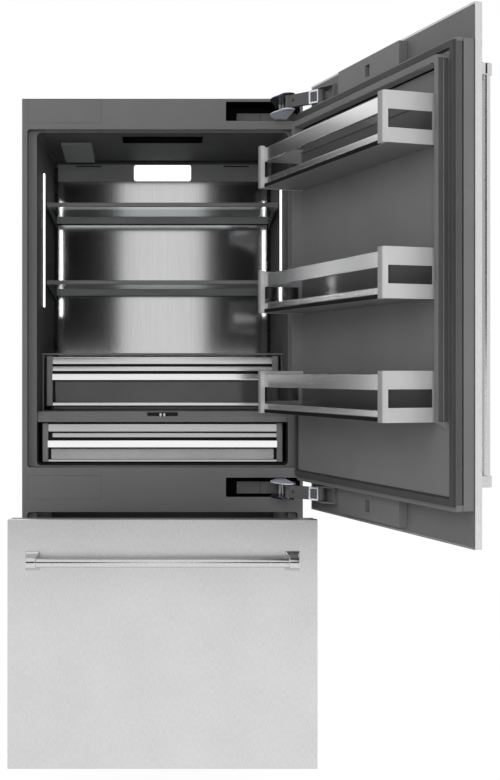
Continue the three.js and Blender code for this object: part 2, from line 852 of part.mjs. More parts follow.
// ---- Deck between the drawers, with its humidity slider ----
const deckHalf = (d) => halfAt(d) - seat;
const sliderHalf = 50;
const sliderSlotTop = deckTop - 4;
const sliderSlotBottom = sliderSlotTop - 15;
const sliderSlotDepth = 9;
const deckNose = 30;
const cleatWidth = 5;
const buildDeck = () => {
  const rear = backPanelDepth - 8;
  const plan = (d0, d1, inset = 0) =>
    outline([
      [-deckHalf(d0) + inset, depth(d0)],
      [deckHalf(d0) - inset, depth(d0)],
      [deckHalf(d1) - inset, depth(d1)],
      [-deckHalf(d1) + inset, depth(d1)],
    ]);
  const plate = slabZ(plan(deckFront, rear), deckTop - deckPlate, deckTop);
  const nose = slabZ(plan(deckFront, deckFront + deckNose), deckBottom, deckTop);
  const chamfer = slabX(
    outline([
      [depth(deckFront) - 1, deckTop - 7],
      [depth(deckFront) + 8, deckTop + 1],
      [depth(deckFront) - 1, deckTop + 1],
    ]),
    -halfCabinet,
    halfCabinet,
  );
  const slot = block(
    -sliderHalf,
    sliderHalf,
    depth(deckFront) - 1,
    depth(deckFront) + sliderSlotDepth,
    sliderSlotBottom,
    sliderSlotTop,
  );
  const cleats = [-1, 1].map((s) => {
    const wallFront = s * deckHalf(upperCrisperFront + 12);
    const wallBack = s * deckHalf(rear);
    return slabZ(
      outline([
        [wallFront, depth(upperCrisperFront + 12)],
        [wallBack, depth(rear)],
        [wallBack - s * cleatWidth, depth(rear)],
        [wallFront - s * cleatWidth, depth(upperCrisperFront + 12)],
      ]),
      deckTop - 1,
      coverBottom - seat,
    );
  });
  return union(cut(union(plate, nose), chamfer, slot), cleats);
};
const deckSolid = buildDeck();
part(refrigerator, "drawer_deck", deckSolid, graphite);
part(
  refrigerator,
  "upper_drawer_cover_glass",
  slabZ(
    outline([
      [-deckHalf(upperCrisperFront + 4), depth(upperCrisperFront + 4)],
      [deckHalf(upperCrisperFront + 4), depth(upperCrisperFront + 4)],
      [deckHalf(shelfBack), depth(shelfBack)],
      [-deckHalf(shelfBack), depth(shelfBack)],
    ]),
    coverBottom,
    coverShelfTop,
  ),
  clearGlass,
);
const buildSlider = () => {
  const middle = (sliderSlotTop + sliderSlotBottom) / 2;
  const knobHalf = 11;
  const base = block(
    -knobHalf,
    knobHalf,
    depth(deckFront) + 1,
    depth(deckFront) + sliderSlotDepth - seat,
    sliderSlotBottom + seat,
    sliderSlotTop - seat,
  );
  const grip = slabX(
    outline([
      [depth(deckFront) + 2, middle - 5],
      [depth(deckFront) + 2, middle + 5],
      [depth(deckFront) - 5, middle + 2.5],
      [depth(deckFront) - 5, middle - 2.5],
    ]),
    -3,
    3,
  );
  return union(base, grip);
};
part(refrigerator, "humidity_slider", buildSlider(), smokedPlastic);

// ---- Crisper drawers: a moulded bin behind a framed front with a pull rail ----
const buildCrisperBin = (front, bottom, top, half) => {
  const radius = 16;
  const draft = 5;
  const ring = (grow, z, spread, x = half) =>
    ringPoints(
      -x + draft * (1 - spread) + grow,
      x - draft * (1 - spread) - grow,
      depth(front) + grow,
      depth(crisperBack) - draft * (1 - spread) - grow,
      radius,
      (a, b) => [a, b, z],
    );
  const outer = loft(ring(0, bottom, 0), ring(0, top, 1));
  const inner = loft(ring(crisperWall, bottom + crisperWall, 0), ring(crisperWall, top + 1, 1));
  return cut(outer, inner);
};

const frontRailDepth = 22;
const windowRecess = 9;
const buildCrisperFront = (front, bottom, top, half, rail, slot, pull, foot) => {
  const y0 = depth(front);
  const y1 = y0 + frontRailDepth;
  const body = block(-half, half, y0, y1, bottom, top);
  const stile = 14;
  // Finger slot between the top rail and the pull, open to the front.
  const railBottom = top - rail;
  const inside = half - stile;
  const finger = block(-inside, inside, y0 - 1, y0 + windowRecess, railBottom - slot, railBottom);
  const window = block(
    -half + stile,
    half - stile,
    y0 - 1,
    y0 + windowRecess,
    bottom + foot,
    railBottom - slot - pull,
  );
  const groove = block(-half - 1, half + 1, y0 - 1, y0 + 3, top - rail * 0.62, top - rail * 0.55);
  const pullBar = slabX(
    outline([
      [y0 + 2, railBottom - slot - pull],
      [y0 + 2, railBottom - slot],
      [y0 - 7, railBottom - slot],
      [y0 - 10, railBottom - slot - 4],
      [y0 - 10, railBottom - slot - pull + 5],
      [y0 - 6, railBottom - slot - pull],
    ]),
    -half + stile,
    half - stile,
  );
  return union(cut(body, finger, window, groove), pullBar);
};

const crispers = {
  upper: {
    front: upperCrisperFront,
    bottom: deckTop + seat,
    frontBottom: deckTop + 10,
    top: upperCrisperTop,
    half: halfAt(upperCrisperFront) - cleatWidth - 2.5,
    rail: 57,
    slot: 7,
    pull: 24,
    foot: 16,
  },
  lower: {
    front: lowerCrisperFront,
    bottom: crisperBottom,
    frontBottom: crisperBottom,
    top: lowerCrisperTop,
    half: halfAt(lowerCrisperFront) - 9,
    rail: 50,
    slot: 8,
    pull: 28,
    foot: 7,
  },
};
const binBehind = frontRailDepth + seat;
for (const [name, c] of Object.entries(crispers)) {
  const binHalf = Math.min(c.half, halfAt(crisperBack) - cleatWidth - 3) - 2;
  const binTop = c.top - 30;
  const group = new THREE.Group();
  refrigerator.add(group);
  const bin = buildCrisperBin(c.front + binBehind, c.bottom, binTop, binHalf);
  part(group, `${name}_crisper_bin`, bin, smokedPlastic);
  part(
    group,
    `${name}_crisper_front`,
    buildCrisperFront(c.front, c.frontBottom, c.top, c.half, c.rail, c.slot, c.pull, c.foot),
    aluminium,
  );
}

// ---- Kick panel, feet and rollers ----
const kickThickness = 12;
const kickHalf = halfCabinet - 2;
const kickColumns = 7;
const kickPitch = 104;
const kickRows = [30, 52];
const buildKickPanel = () => {
  const panel = block(-kickHalf, kickHalf, -kickThickness / 2, kickThickness / 2, 0, cabinetBottom - seat);
  const louvres = [];
  for (let i = 0; i < kickColumns; i++) {
    const x = (i - (kickColumns - 1) / 2) * kickPitch;
    for (const z of kickRows) {
      louvres.push(block(x - 40, x + 40, -kickThickness, kickThickness, z, z + 8));
    }
  }
  return cut(panel, louvres);
};
part(refrigerator, "kick_panel", buildKickPanel(), graphite);

const buildFoot = (x) => {
  const sole = rod("z", footRadius, [x, footY], 0, 10, 24);
  const nut = rod("z", 13, [x, footY], 9, 24, 6);
  const stem = rod("z", footStem, [x, footY], 20, cabinetBottom - footHeadroom, 16);
  return union(sole, nut, stem);
};
part(refrigerator, "levelling_foot_left", buildFoot(-footX), darkSteel);
part(refrigerator, "levelling_foot_right", buildFoot(footX), darkSteel);

part(refrigerator, "rear_roller_left", buildRoller(-footX), blackPlastic);
part(refrigerator, "rear_roller_right", buildRoller(footX), blackPlastic);

// ---- Machine bay: compressor, condenser with its fan, and rear grille ----
const bayFloor = cabinetBottom + 6;
const bayMiddle = depth(cabinetDepth - bayDepth / 2);
const compressorX = 250;
const compressorRadius = 78;
const compressorHeight = bayHeight - 49;
const footHalfWidth = 95;
const footHalfDepth = 60;
const grommetInset = 15;
const grommetRadius = 11;
const buildCompressor = () => {
  const base = bayFloor + 14;
  const points = [
    [0, 0],
    [compressorRadius * 0.7, 0],
    [compressorRadius, 18],
    [compressorRadius, compressorHeight * 0.45],
    [compressorRadius + 3, compressorHeight * 0.47],
    [compressorRadius + 3, compressorHeight * 0.5],
    [compressorRadius, compressorHeight * 0.52],
    [compressorRadius * 0.97, compressorHeight * 0.75],
    [compressorRadius * 0.75, compressorHeight * 0.93],
    [compressorRadius * 0.4, compressorHeight],
    [0, compressorHeight],
  ];
  const g = new THREE.LatheGeometry(
    points.map(([r, z]) => new THREE.Vector2(r, z)),
    16,
  );
  g.rotateX(Math.PI / 2);
  g.translate(compressorX, bayMiddle, base);
  const dome = toManifold(g);
  const foot = block(
    compressorX - footHalfWidth,
    compressorX + footHalfWidth,
    bayMiddle - footHalfDepth,
    bayMiddle + footHalfDepth,
    base - 2,
    base + 4,
  );
  const corners = [-1, 1].flatMap((sx) => [-1, 1].map((sy) => [sx, sy]));
  const grommets = corners.map(([sx, sy]) => {
    const at = [
      compressorX + sx * (footHalfWidth - grommetInset),
      bayMiddle + sy * (footHalfDepth - grommetInset),
    ];
    return rod("z", grommetRadius, at, bayFloor + seat, base, 12);
  });
  return union(dome, foot, grommets);
};
part(refrigerator, "compressor", buildCompressor(), blackPlastic);

const condenserWidth = 210;
const condenserX0 = 59.5 - halfCabinet;
const condenserX1 = condenserX0 + condenserWidth;
const condenserZ0 = bayFloor + 40;
const condenserZ1 = bayTop - 20;
const condenserY0 = depth(cabinetDepth - bayDepth) + 20;
const condenserY1 = condenserY0 + 60;
const condenserMiddle = (condenserY0 + condenserY1) / 2 - 6;
const condenserFanCentre = [(condenserX0 + condenserX1) / 2, (condenserZ0 + condenserZ1) / 2];
const condenserFanRadius = 72;
const condenserFins = 11;
const buildCondenser = () => {
  const [x0, x1, z0, z1] = [condenserX0, condenserX1, condenserZ0, condenserZ1];
  const coil = buildFinnedCoil(x0, x1, condenserY0, condenserY1, z0, z1, condenserFins);
  const shroudY0 = condenserY1 + 8;
  const shroud = cut(
    block(x0 - 10, x1 + 10, condenserMiddle, shroudY0 + 34, z0 - 6, z1 + 6),
    block(x0 - 7, x1 + 7, condenserMiddle - 1, shroudY0, z0 - 3, z1 + 3),
    rod("y", condenserFanRadius + 4, condenserFanCentre, shroudY0 - 1, shroudY0 + 40, 28),
  );
  const arm = block(
    condenserX0 - 8,
    condenserX1 + 8,
    shroudY0 + 2,
    shroudY0 + 7,
    condenserFanCentre[1] - 6,
    condenserFanCentre[1] + 6,
  );
  const motor = rod("y", 18, condenserFanCentre, shroudY0 - 2, shroudY0 + 10, 18);
  const spindle = rod("y", 3, condenserFanCentre, shroudY0 + 9, shroudY0 + 22, 10);
  const legs = [condenserX0 - 10, condenserX1 - 10].map((x) =>
    block(x, x + 20, condenserY1 - 2, shroudY0 + 20, bayFloor + seat, condenserZ0 - 5),
  );
  return union(coil, shroud, arm, motor, spindle, legs);
};
part(refrigerator, "condenser", buildCondenser(), darkSteel);
part(
  refrigerator,
  "condenser_fan",
  buildAxialFan(
    condenserFanCentre,
    condenserFanRadius,
    24,
    18,
    condenserY1 + 18 + seat,
    5,
    3 + pinClearance,
  ),
  blackPlastic,
);

const grilleSlots = 16;
const grillePitch = 50;
const buildRearGrille = () => {
  const half = halfCabinet - 22 - seat;
  const y1 = depth(cabinetDepth);
  const sheet = block(-half, half, y1 - 2, y1, bayFloor + seat, bayTop - seat);
  const slots = [];
  for (let i = 0; i < grilleSlots; i++) {
    const x = (i - (grilleSlots - 1) / 2) * grillePitch;
    slots.push(block(x - 5, x + 5, y1 - 3, y1 + 1, bayFloor + 40, bayTop - 40));
  }
  return cut(sheet, slots);
};
part(refrigerator, "rear_grille", buildRearGrille(), galvanised);

// ---- Freezer slides: cabinet members on the liner's walls ----
const slideMiddle = freezerStepFloor + 79;
const slideHalfHeight = 23;
const slideFront = frameDepth + 8;
const slideRear = linerBack - 42;
const slideWall = 2.5;
const slideWidth = 14;
const slideLip = 9;
for (const [side, sign] of [["left", -1], ["right", 1]]) {
  const wallAt = openingHalf - seat;
  const y0 = depth(slideFront);
  const y1 = depth(slideRear);
  const x = (a, b) => (sign > 0 ? [a, b] : [-b, -a]);
  const outer = block(
    ...x(wallAt - slideWidth, wallAt),
    y0,
    y1,
    slideMiddle - slideHalfHeight,
    slideMiddle + slideHalfHeight,
  );
  const inside = block(
    ...x(wallAt - slideWidth + slideWall, wallAt - slideWall),
    y0 - 1,
    y1 - 4,
    slideMiddle - slideHalfHeight + slideWall,
    slideMiddle + slideHalfHeight - slideWall,
  );
  const mouth = block(
    ...x(wallAt - slideWidth - 1, wallAt - slideWidth + slideWall + 1),
    y0 - 1,
    y1 - 4,
    slideMiddle - slideHalfHeight + slideLip,
    slideMiddle + slideHalfHeight - slideLip,
  );
  part(refrigerator, `freezer_slide_${side}`, cut(outer, inside, mouth), galvanised);
}

// ---- Handles: a round bar in two flared posts ----
const postCap = 17;
const buildHandle = (length) => {
  // Built along X with its back on y = 0 and its bar at y = -barStandoff.
  const half = length / 2;
  const bar = rod("x", barRadius, [-barStandoff, 0], -half + 2, half - 2, 20);
  const posts = [-1, 1].flatMap((s) => {
    const x = s * (half - postWidth / 2);
    const postRing = (width, height, y) =>
      ringPoints(x - width / 2, x + width / 2, -height / 2, height / 2, 6, (a, b) => [a, y, b]);
    const foot = loft(
      postRing(postBaseWidth, postBaseHeight, -seat),
      postRing(postWidth, 2 * postCap - 2, -barStandoff),
    );
    return [foot, rod("x", postCap, [-barStandoff, 0], x - postWidth / 2, x + postWidth / 2, 20)];
  });
  return union(bar, posts);
};

// ---- Refrigerator door, built closed and swung about its virtual hinge centre ----
const doorSwing = new THREE.Group();
doorSwing.position.set(poleX, poleY, 0);
doorSwing.rotation.z = THREE.MathUtils.degToRad(doorOpen);
const door = new THREE.Group();
door.position.set(-poleX, -poleY, 0);
doorSwing.add(door);
refrigerator.add(doorSwing);

const halfBox = halfPanel - boxInset;
const panelBack = lift(panelThickness);
const ring = (outer, inner, y0, y1, r) => {
  const shape = roundRect(...outer, r);
  shape.holes.push(roundRect(...inner, Math.max(1, r - 2), THREE.Path));
  return slabY(shape, y0, y1, 2);
};

part(
  door,
  "door_panel",
  slabY(roundRect(-halfPanel, halfPanel, doorPanelBottom, doorPanelTop, 2), closedFace, panelBack, 2),
  stainless,
);

// ---- Hinge layout ----
// The leaf turns with the door on the cabinet pivot and the bar keeps its heading, so the door turns
// about the virtual centre that lies outside the panel.
const turned = (x, y, degrees) => {
  const a = THREE.MathUtils.degToRad(degrees);
  return [x * Math.cos(a) - y * Math.sin(a), x * Math.sin(a) + y * Math.cos(a)];
};
const anchor = [anchorX, depth(anchorDepth)];
const doorPivotClosed = [halfPanel - doorPivotInset, lift(panelThickness + doorPivotLift)];
const leafClosed = [doorPivotClosed[0] - poleX, doorPivotClosed[1] - poleY];
const leafOpen = turned(...leafClosed, doorOpen);
const elbow = [anchor[0] + leafOpen[0], anchor[1] + leafOpen[1]];
const barVector = [poleX - anchor[0], poleY - anchor[1]];
const doorPivot = [elbow[0] + barVector[0], elbow[1] + barVector[1]];

const barHalfHeight = leafSpan / 2 - leafThickness - 1;
const bracketWeb = 3;
const buildBracket = (z) => {
  const [x, y] = doorPivotClosed;
  const y0 = panelBack + seat;
  const reach = barHalfHeight + 1;
  const start = halfPanel - carrierStart - 1;
  const base = block(start, x + 24, y0, y0 + bracketWeb, z - reach - 4, z + reach + 4);
  const ear = (s) =>
    slabZ(
      outline([
        [x + 22, y0],
        [x + 14, y + 12],
        [x - 14, y + 12],
        [x - 60, y0 + 12],
        [x - 60, y0],
      ]),
      s > 0 ? z + reach : z - reach - 4,
      s > 0 ? z + reach + 4 : z - reach,
    );
  const pin = rod("z", pinRadius, [x, y], z - reach - 1, z + reach + 1, 12);
  const stop = block(x - 60, x - 54, y0, y0 + 12, z - reach, z + reach);
  return union(base, ear(1), ear(-1), pin, stop);
};
// The insulated box, with a hinge carrier above and below it that reaches towards the middle.
const carrierThickness = 25;
const carrierStart = 236;
const carrierEnd = 589;
const carrierHeight = 76;
const carrierSlot = 165; // slot for the door's fixing, from the carrier's hinge end
const buildDoorBox = () => {
  const y0 = panelBack + seat;
  const y1 = lift(backOfBox);
  const box = slabY(roundRect(-halfBox, halfBox, doorBoxBottom, doorBoxTop, 4), y0, y1, 2);
  const seam = 2;
  const seamY = lift(52);
  const grooves = cut(
    block(-halfPanel, halfPanel, seamY - 1, seamY + 1, doorBoxBottom - 5, doorBoxTop + 5),
    block(-halfBox + seam, halfBox - seam, seamY - 2, seamY + 2, doorBoxBottom + seam, doorBoxTop - seam),
  );
  const x0 = halfPanel - carrierEnd;
  const x1 = halfPanel - carrierStart;
  const y2 = y0 + carrierThickness;
  const carrier = (z0, z1) => {
    const slot = x1 - carrierSlot;
    return cut(
      block(x0, x1, y0, y2, z0, z1),
      block(slot - 25, slot, y2 - 12, y2 + 1, z0 + 22, z1 - 22),
    );
  };
  return union(
    cut(box, grooves),
    carrier(doorBoxTop - 1, doorBoxTop + carrierHeight),
    carrier(doorBoxBottom - carrierHeight, doorBoxBottom + 1),
    pocketHeights.map(buildBracket),
  );
};
part(door, "door_box", buildDoorBox(), graphite);

// The liner is a flat sheet with a raised rim round its upper part, which carries the bins.
const rimHalf = rebateHalf - rimClearance;
const rimTop = coldRebateTop - rimClearance;
const gasketOuter = [
  -halfBox + 1,
  halfBox - 1,
  coldRebateBottom - gasketWidth - 4,
  coldRebateTop + gasketWidth + 4,
];
const gasketHalfInner = halfBox - 1 - gasketWidth - 3;
const gasketInner = [-gasketHalfInner, gasketHalfInner, coldRebateBottom + 3, coldRebateTop - 3];
const buildDoorLiner = () => {
  const y0 = lift(backOfBox) + seat;
  const y1 = y0 + linerFlat;
  const y2 = y1 + rimHeight;
  const flatHalf = gasketHalfInner - 1;
  const flat = roundRect(-flatHalf, flatHalf, coldRebateBottom + 5, coldRebateTop - 5, 6);
  const sheet = slabY(flat, y0, y1, 2);
  const draft = 3;
  const ringAt = (inset, y, low) =>
    ringPoints(-rimHalf + inset, rimHalf - inset, low, rimTop - inset, 12, (x, z) => [x, y, z]);
  const outer = loft(ringAt(0, y1 - 1, rimBottom), ringAt(draft, y2, rimBottom + 20));
  const inner = loft(
    ringAt(rimWidth + draft, y1 - 2, rimBottom - 40),
    ringAt(rimWidth - draft, y2 + 1, rimBottom - 40),
  );
  return union(sheet, cut(outer, inner, block(-rimHalf, rimHalf, y0, y1, 0, cabinetTop)));
};
part(door, "door_liner", buildDoorLiner(), linerGrey);

const buildGasket = (outer, inner) => {
  const y0 = lift(backOfBox) + seat;
  const y1 = lift(backOfBox) + gasketThickness;
  const base = ring(outer, inner, y0, y0 + 4, 5);
  const inset = (b, m) => [b[0] + m, b[1] - m, b[2] + m, b[3] - m];
  const crown = ring(inset(outer, 2), inset(inner, -3), y0 + 3, y1, 4);
  return union(base, crown);
};
part(door, "door_gasket", buildGasket(gasketOuter, gasketInner), gasketGrey);

const placeHandle = (length, upright, x, z, face) => {
  const g = toGeometry(buildHandle(length));
  if (upright) g.rotateY(Math.PI / 2);
  g.translate(x, face, z);
  return toManifold(g);
};
part(
  door,
  "door_handle",
  placeHandle(doorHandleLength, true, -halfPanel + doorHandleInset, doorHandleMiddle, closedFace),
  chrome,
);

// Door bins: a trough with two metal rails in front, between end caps with a window each.
const binX0 = -halfPanel + binFreeInset;
const binX1 = halfPanel - binHingeInset;
const binRear = lift(backOfBox) + seat + linerFlat + seat;
const binFront = lift(panelThickness + binFrontLift - 5);
const binRailFace = binFront - binCapReach;
const binRailDrop = 8; // the rails lie below the caps' top
const upperRailHeight = 40;
const lowerRailHeight = 17;
const binSill = 12;
const binThin = 2;
const binPost = 12;
const capRadius = 18;
const buildBin = (z0) => {
  const z1 = z0 + binHeight;
  const railTop = z1 - binRailDrop;
  const trough = block(binX0 + 2, binX1 - 2, binRear, binRailFace - binThin, z0, railTop);
  const inner = block(
    binX0 + binWall,
    binX1 - binWall,
    binRear + binWall,
    binRailFace - binWall,
    z0 + binWall,
    z1 + 1,
  );
  const rail = (v0, v1) => block(binX0 + 5, binX1 - 5, binRailFace - binThin - 1, binRailFace, v0, v1);
  const rails = [
    rail(railTop - upperRailHeight, railTop),
    rail(z0 + binSill, z0 + binSill + lowerRailHeight),
  ];
  const caps = [-1, 1].map((s) => {
    const outside = s > 0 ? binX1 : binX0;
    const at = (inset) => outside - s * inset;
    const plan = new THREE.Shape();
    plan.moveTo(at(0), binRear);
    plan.lineTo(at(0), binFront - capRadius);
    plan.quadraticCurveTo(at(0), binFront, at(capRadius), binFront);
    plan.lineTo(at(binCapWidth), binFront);
    plan.lineTo(at(binCapWidth), binRailFace - binThin);
    plan.lineTo(at(binWall), binRailFace - binThin);
    plan.lineTo(at(binWall), binRear);
    const cap = slabZ(plan, z0, z1, 4);
    const window = block(
      Math.min(at(-1), at(binThin)),
      Math.max(at(-1), at(binThin)),
      binRear + binPost,
      binFront - capRadius - binThin,
      z0 + binLowerBand,
      z1 - binUpperBand,
    );
    return cut(cap, window);
  });
  return union(cut(trough, inner), rails, caps);
};
["upper", "middle", "lower"].forEach((name, i) => {
  part(door, `${name}_door_bin`, buildBin(binHeights[i]), aluminium);
});

// ---- Articulated hinges: cabinet plate, leaf pair and bar ----
// A flat link between two pivots in plan, with round ends and an optional bulge to one side.
const linkShape = (from, to, half, bulge = 0) => {
  const angle = Math.atan2(to[1] - from[1], to[0] - from[0]);
  const length = Math.hypot(to[0] - from[0], to[1] - from[1]);
  const s = new THREE.Shape();
  s.moveTo(0, -half);
  s.lineTo(length, -half);
  s.absarc(length, 0, half, -Math.PI / 2, Math.PI / 2, false);
  s.quadraticCurveTo(length / 2, half + bulge * 2, 0, half);
  s.absarc(0, 0, half, Math.PI / 2, Math.PI * 1.5, false);
  return { shape: s, angle, from };
};
const linkSolid = ({ shape, angle, from }, z0, z1) => {
  const g = extrude(shape, z1 - z0, 4);
  g.rotateZ(angle);
  g.translate(from[0], from[1], z0);
  return toManifold(g);
};

const leafHalf = 20;
const leafBulge = 26;
const hubRadius = 13;
const buildHingePlate = (z) => {
  const y0 = depth(pocketDepth) - seat;
  const half = pocketHeight / 2 - seat;
  const back = block(pocketLeft + 40, pocketRight - seat, y0 - 4, y0, z - half, z + half);
  const lug = (s) =>
    block(
      anchor[0] - 16,
      anchor[0] + 16,
      anchor[1] - 10,
      y0 - 3,
      s > 0 ? z + half - 4 : z - half,
      s > 0 ? z + half : z - half + 4,
    );
  const pin = rod("z", pinRadius, anchor, z - half + 1, z + half - 1, 12);
  return union(back, lug(1), lug(-1), pin);
};
const buildLeaf = (z) => {
  const half = leafSpan / 2;
  const leaf = linkShape(anchor, elbow, leafHalf, leafBulge);
  const top = linkSolid(leaf, z + half - leafThickness, z + half);
  const bottom = linkSolid(leaf, z - half, z - half + leafThickness);
  const hub = rod("z", hubRadius, anchor, z - half, z + half, 16);
  const holes = [
    rod("z", pinRadius + pinClearance, anchor, z - half - 1, z + half + 1, 12),
    rod("z", pinRadius + pinClearance, elbow, z - half - 1, z + half + 1, 12),
  ];
  return cut(union(top, bottom, hub), holes);
};
const buildBar = (z) => {
  const half = linkWidth / 2;
  const bar = linkSolid(linkShape(elbow, doorPivot, half * 0.62), z - barHalfHeight, z + barHalfHeight);
  const boss = rod("z", half, elbow, z - barHalfHeight, z + barHalfHeight, 16);
  const elbowPin = rod("z", pinRadius, elbow, z - leafSpan / 2 + 0.5, z + leafSpan / 2 - 0.5, 12);
  const eye = rod("z", pinRadius + pinClearance, doorPivot, z - leafSpan, z + leafSpan, 12);
  const middle = [(elbow[0] + doorPivot[0]) / 2, (elbow[1] + doorPivot[1]) / 2];
  const slot = rod("z", 4, middle, z - leafSpan, z + leafSpan, 12);
  return cut(union(bar, boss, elbowPin), eye, slot);
};
for (const [name, z] of [["upper", upperHingeHeight], ["lower", lowerHingeHeight]]) {
  part(refrigerator, `${name}_hinge_plate`, buildHingePlate(z), galvanised);
  part(refrigerator, `${name}_hinge_leaf`, buildLeaf(z), chrome);
  part(refrigerator, `${name}_hinge_bar`, buildBar(z), chrome);
}

// ---- Freezer drawer, built closed and drawn forward ----
const drawer = new THREE.Group();
drawer.position.y = -drawerOut;
refrigerator.add(drawer);

part(
  drawer,
  "freezer_panel",
  slabY(roundRect(-halfPanel, halfPanel, drawerPanelBottom, drawerPanelTop, 2), closedFace, panelBack, 2),
  stainless,
);
const drawerGasketOuter = [-halfBox + 1, halfBox - 1, drawerBoxBottom + 1, drawerBoxTop - 0.5];
const drawerGasketInner = [
  -gasketHalfInner,
  gasketHalfInner,
  freezerRebateBottom + 2,
  freezerRebateTop - 1,
];
const innerPanLift = 8;
const buildDrawerBox = () => {
  const y0 = panelBack + seat;
  const y1 = lift(backOfBox);
  const box = slabY(roundRect(-halfBox, halfBox, drawerBoxBottom, drawerBoxTop, 4), y0, y1, 2);
  const half = gasketHalfInner - 3;
  const pan = slabY(
    roundRect(-half, half, freezerRebateBottom + 6, freezerRebateTop - 5, 8),
    y1 - 1,
    y1 + innerPanLift,
    2,
  );
  return union(box, pan);
};
part(drawer, "freezer_box", buildDrawerBox(), graphite);
part(drawer, "freezer_gasket", buildGasket(drawerGasketOuter, drawerGasketInner), gasketGrey);
part(
  drawer,
  "freezer_handle",
  placeHandle(drawerHandleLength, false, 0, drawerHandleHeight, closedFace),
  chrome,
);

// The carriage: a front plate and two pairs of arms. The lower pair runs in the cabinet's slides.
const armOuter = openingHalf - seat - slideWidth - 1;
const armThickness = 3;
const armRear = backPanelDepth - 68;
const armBottom = slideMiddle - 30;
const armTop = slideMiddle + 32;
const runnerHalf = slideHalfHeight - slideLip - seat;
const trayArmTop = slideMiddle + 154;
const ledgeReach = 14;
const basketRimBottom = slideMiddle + 32;
const plateFront = lift(backOfBox) + innerPanLift + seat;
const buildCarriage = () => {
  const plate = block(-armOuter, armOuter, plateFront, plateFront + 2, armBottom, trayArmTop);
  const sides = [-1, 1].flatMap((s) => {
    const x = (a, b) => (s > 0 ? [a, b] : [-b, -a]);
    const plateSide = slabX(
      outline([
        [plateFront, armBottom],
        [depth(armRear), armBottom],
        [depth(armRear), armTop],
        [depth(armRear) - 24, armTop + 18],
        [depth(armRear) - 24, trayArmTop],
        [plateFront, trayArmTop],
      ]),
      ...x(armOuter - armThickness, armOuter),
    );
    const runner = block(
      ...x(armOuter - 1, armOuter + slideWidth - slideWall - 3),
      plateFront + 30,
      depth(armRear),
      slideMiddle - runnerHalf,
      slideMiddle + runnerHalf,
    );
    const ledge = block(
      ...x(armOuter - ledgeReach, armOuter - 1),
      plateFront,
      depth(armRear) - 60,
      basketRimBottom - seat - 3,
      basketRimBottom - seat,
    );
    return [plateSide, runner, ledge];
  });
  return union(plate, sides);
};
part(drawer, "drawer_carriage", buildCarriage(), galvanised);

// A moulded tub with a turned-out rim and rows of slots through its sides.
const tubWall = 3;
const slotColumns = 4;
const slotHalf = 66;
const slotHeight = 12;
const buildTub = (half, y0, y1, bottom, top, rim, slotRows) => {
  const draft = 8;
  const slotPitch = (2 * half) / (slotColumns + 0.2);
  const ringZ = (grow, z, spread) =>
    ringPoints(
      -half + draft * (1 - spread) + grow,
      half - draft * (1 - spread) - grow,
      y0 + draft * (1 - spread) + grow,
      y1 - draft * (1 - spread) - grow,
      18,
      (a, b) => [a, b, z],
    );
  const outer = loft(ringZ(0, bottom, 0), ringZ(0, top, 1));
  const inner = loft(ringZ(tubWall, bottom + tubWall, 0), ringZ(tubWall, top + 1, 1));
  const lip = slabZ(roundRect(-half - rim, half + rim, y0, y1, 10), top - 4, top, 3);
  const slots = slotRows.flatMap((z) => {
    const row = [];
    for (let i = 0; i < slotColumns; i++) {
      const x = (i - (slotColumns - 1) / 2) * slotPitch;
      row.push(block(x - slotHalf, x + slotHalf, y0 - 5, y1 + 5, z, z + slotHeight));
    }
    return row;
  });
  return cut(union(outer, lip), inner, slots);
};
const basketFront = plateFront + 2 + seat;
const basketHalf = armOuter - armThickness - 15;
const basketDepth = frameDepth + freezerStepDepth - 28;
const rimReach = 11;
const rimThickness = 4;
const basketFloor = freezerFloor + 14;
const basketHeight = basketRimBottom - basketFloor;
const basketSlotRows = [0.18, 0.42, 0.67].map((share) => basketFloor + share * basketHeight);
const trayDepth = basketDepth - 30;
part(
  drawer,
  "freezer_basket",
  buildTub(
    basketHalf,
    basketFront,
    depth(basketDepth),
    basketFloor,
    basketRimBottom + rimThickness,
    rimReach,
    basketSlotRows,
  ),
  smokedPlastic,
);
part(
  drawer,
  "freezer_tray",
  buildTub(
    basketHalf,
    basketFront,
    depth(trayDepth),
    trayArmTop - 86,
    trayArmTop + seat + rimThickness,
    armOuter - basketHalf - 0.5,
    [],
  ),
  smokedPlastic,
);

export default refrigerator;
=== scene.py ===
import math
import bpy
from mathutils import Matrix, Vector


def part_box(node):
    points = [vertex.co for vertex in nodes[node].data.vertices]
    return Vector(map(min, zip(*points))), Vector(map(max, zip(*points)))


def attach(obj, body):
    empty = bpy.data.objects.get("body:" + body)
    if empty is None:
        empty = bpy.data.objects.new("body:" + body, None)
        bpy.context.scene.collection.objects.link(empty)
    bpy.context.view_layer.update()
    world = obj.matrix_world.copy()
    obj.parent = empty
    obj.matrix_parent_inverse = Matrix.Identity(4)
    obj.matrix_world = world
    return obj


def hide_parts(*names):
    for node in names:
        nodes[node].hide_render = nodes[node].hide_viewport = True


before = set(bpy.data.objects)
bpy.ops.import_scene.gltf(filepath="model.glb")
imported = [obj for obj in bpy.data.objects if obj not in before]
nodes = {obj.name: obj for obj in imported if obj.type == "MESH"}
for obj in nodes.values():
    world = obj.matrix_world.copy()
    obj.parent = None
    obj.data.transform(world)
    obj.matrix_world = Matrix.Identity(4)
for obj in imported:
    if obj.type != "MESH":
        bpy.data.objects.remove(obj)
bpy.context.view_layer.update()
print("frame loaded")

# Places that several pieces share, in metres.
layout = {
    "cabinetFront": -0.060,
    "closedFace": -0.1405,  # outer face of a closed panel
    "halfPanel": 0.454,
    "hingeCentre": (0.4706, -0.1319),
    "doorOpen": math.radians(108.3),
    "drawerOut": 0.2465,
    "doorSpan": (0.816, 2.134),
    "drawerSpan": (0.082, 0.812),
}

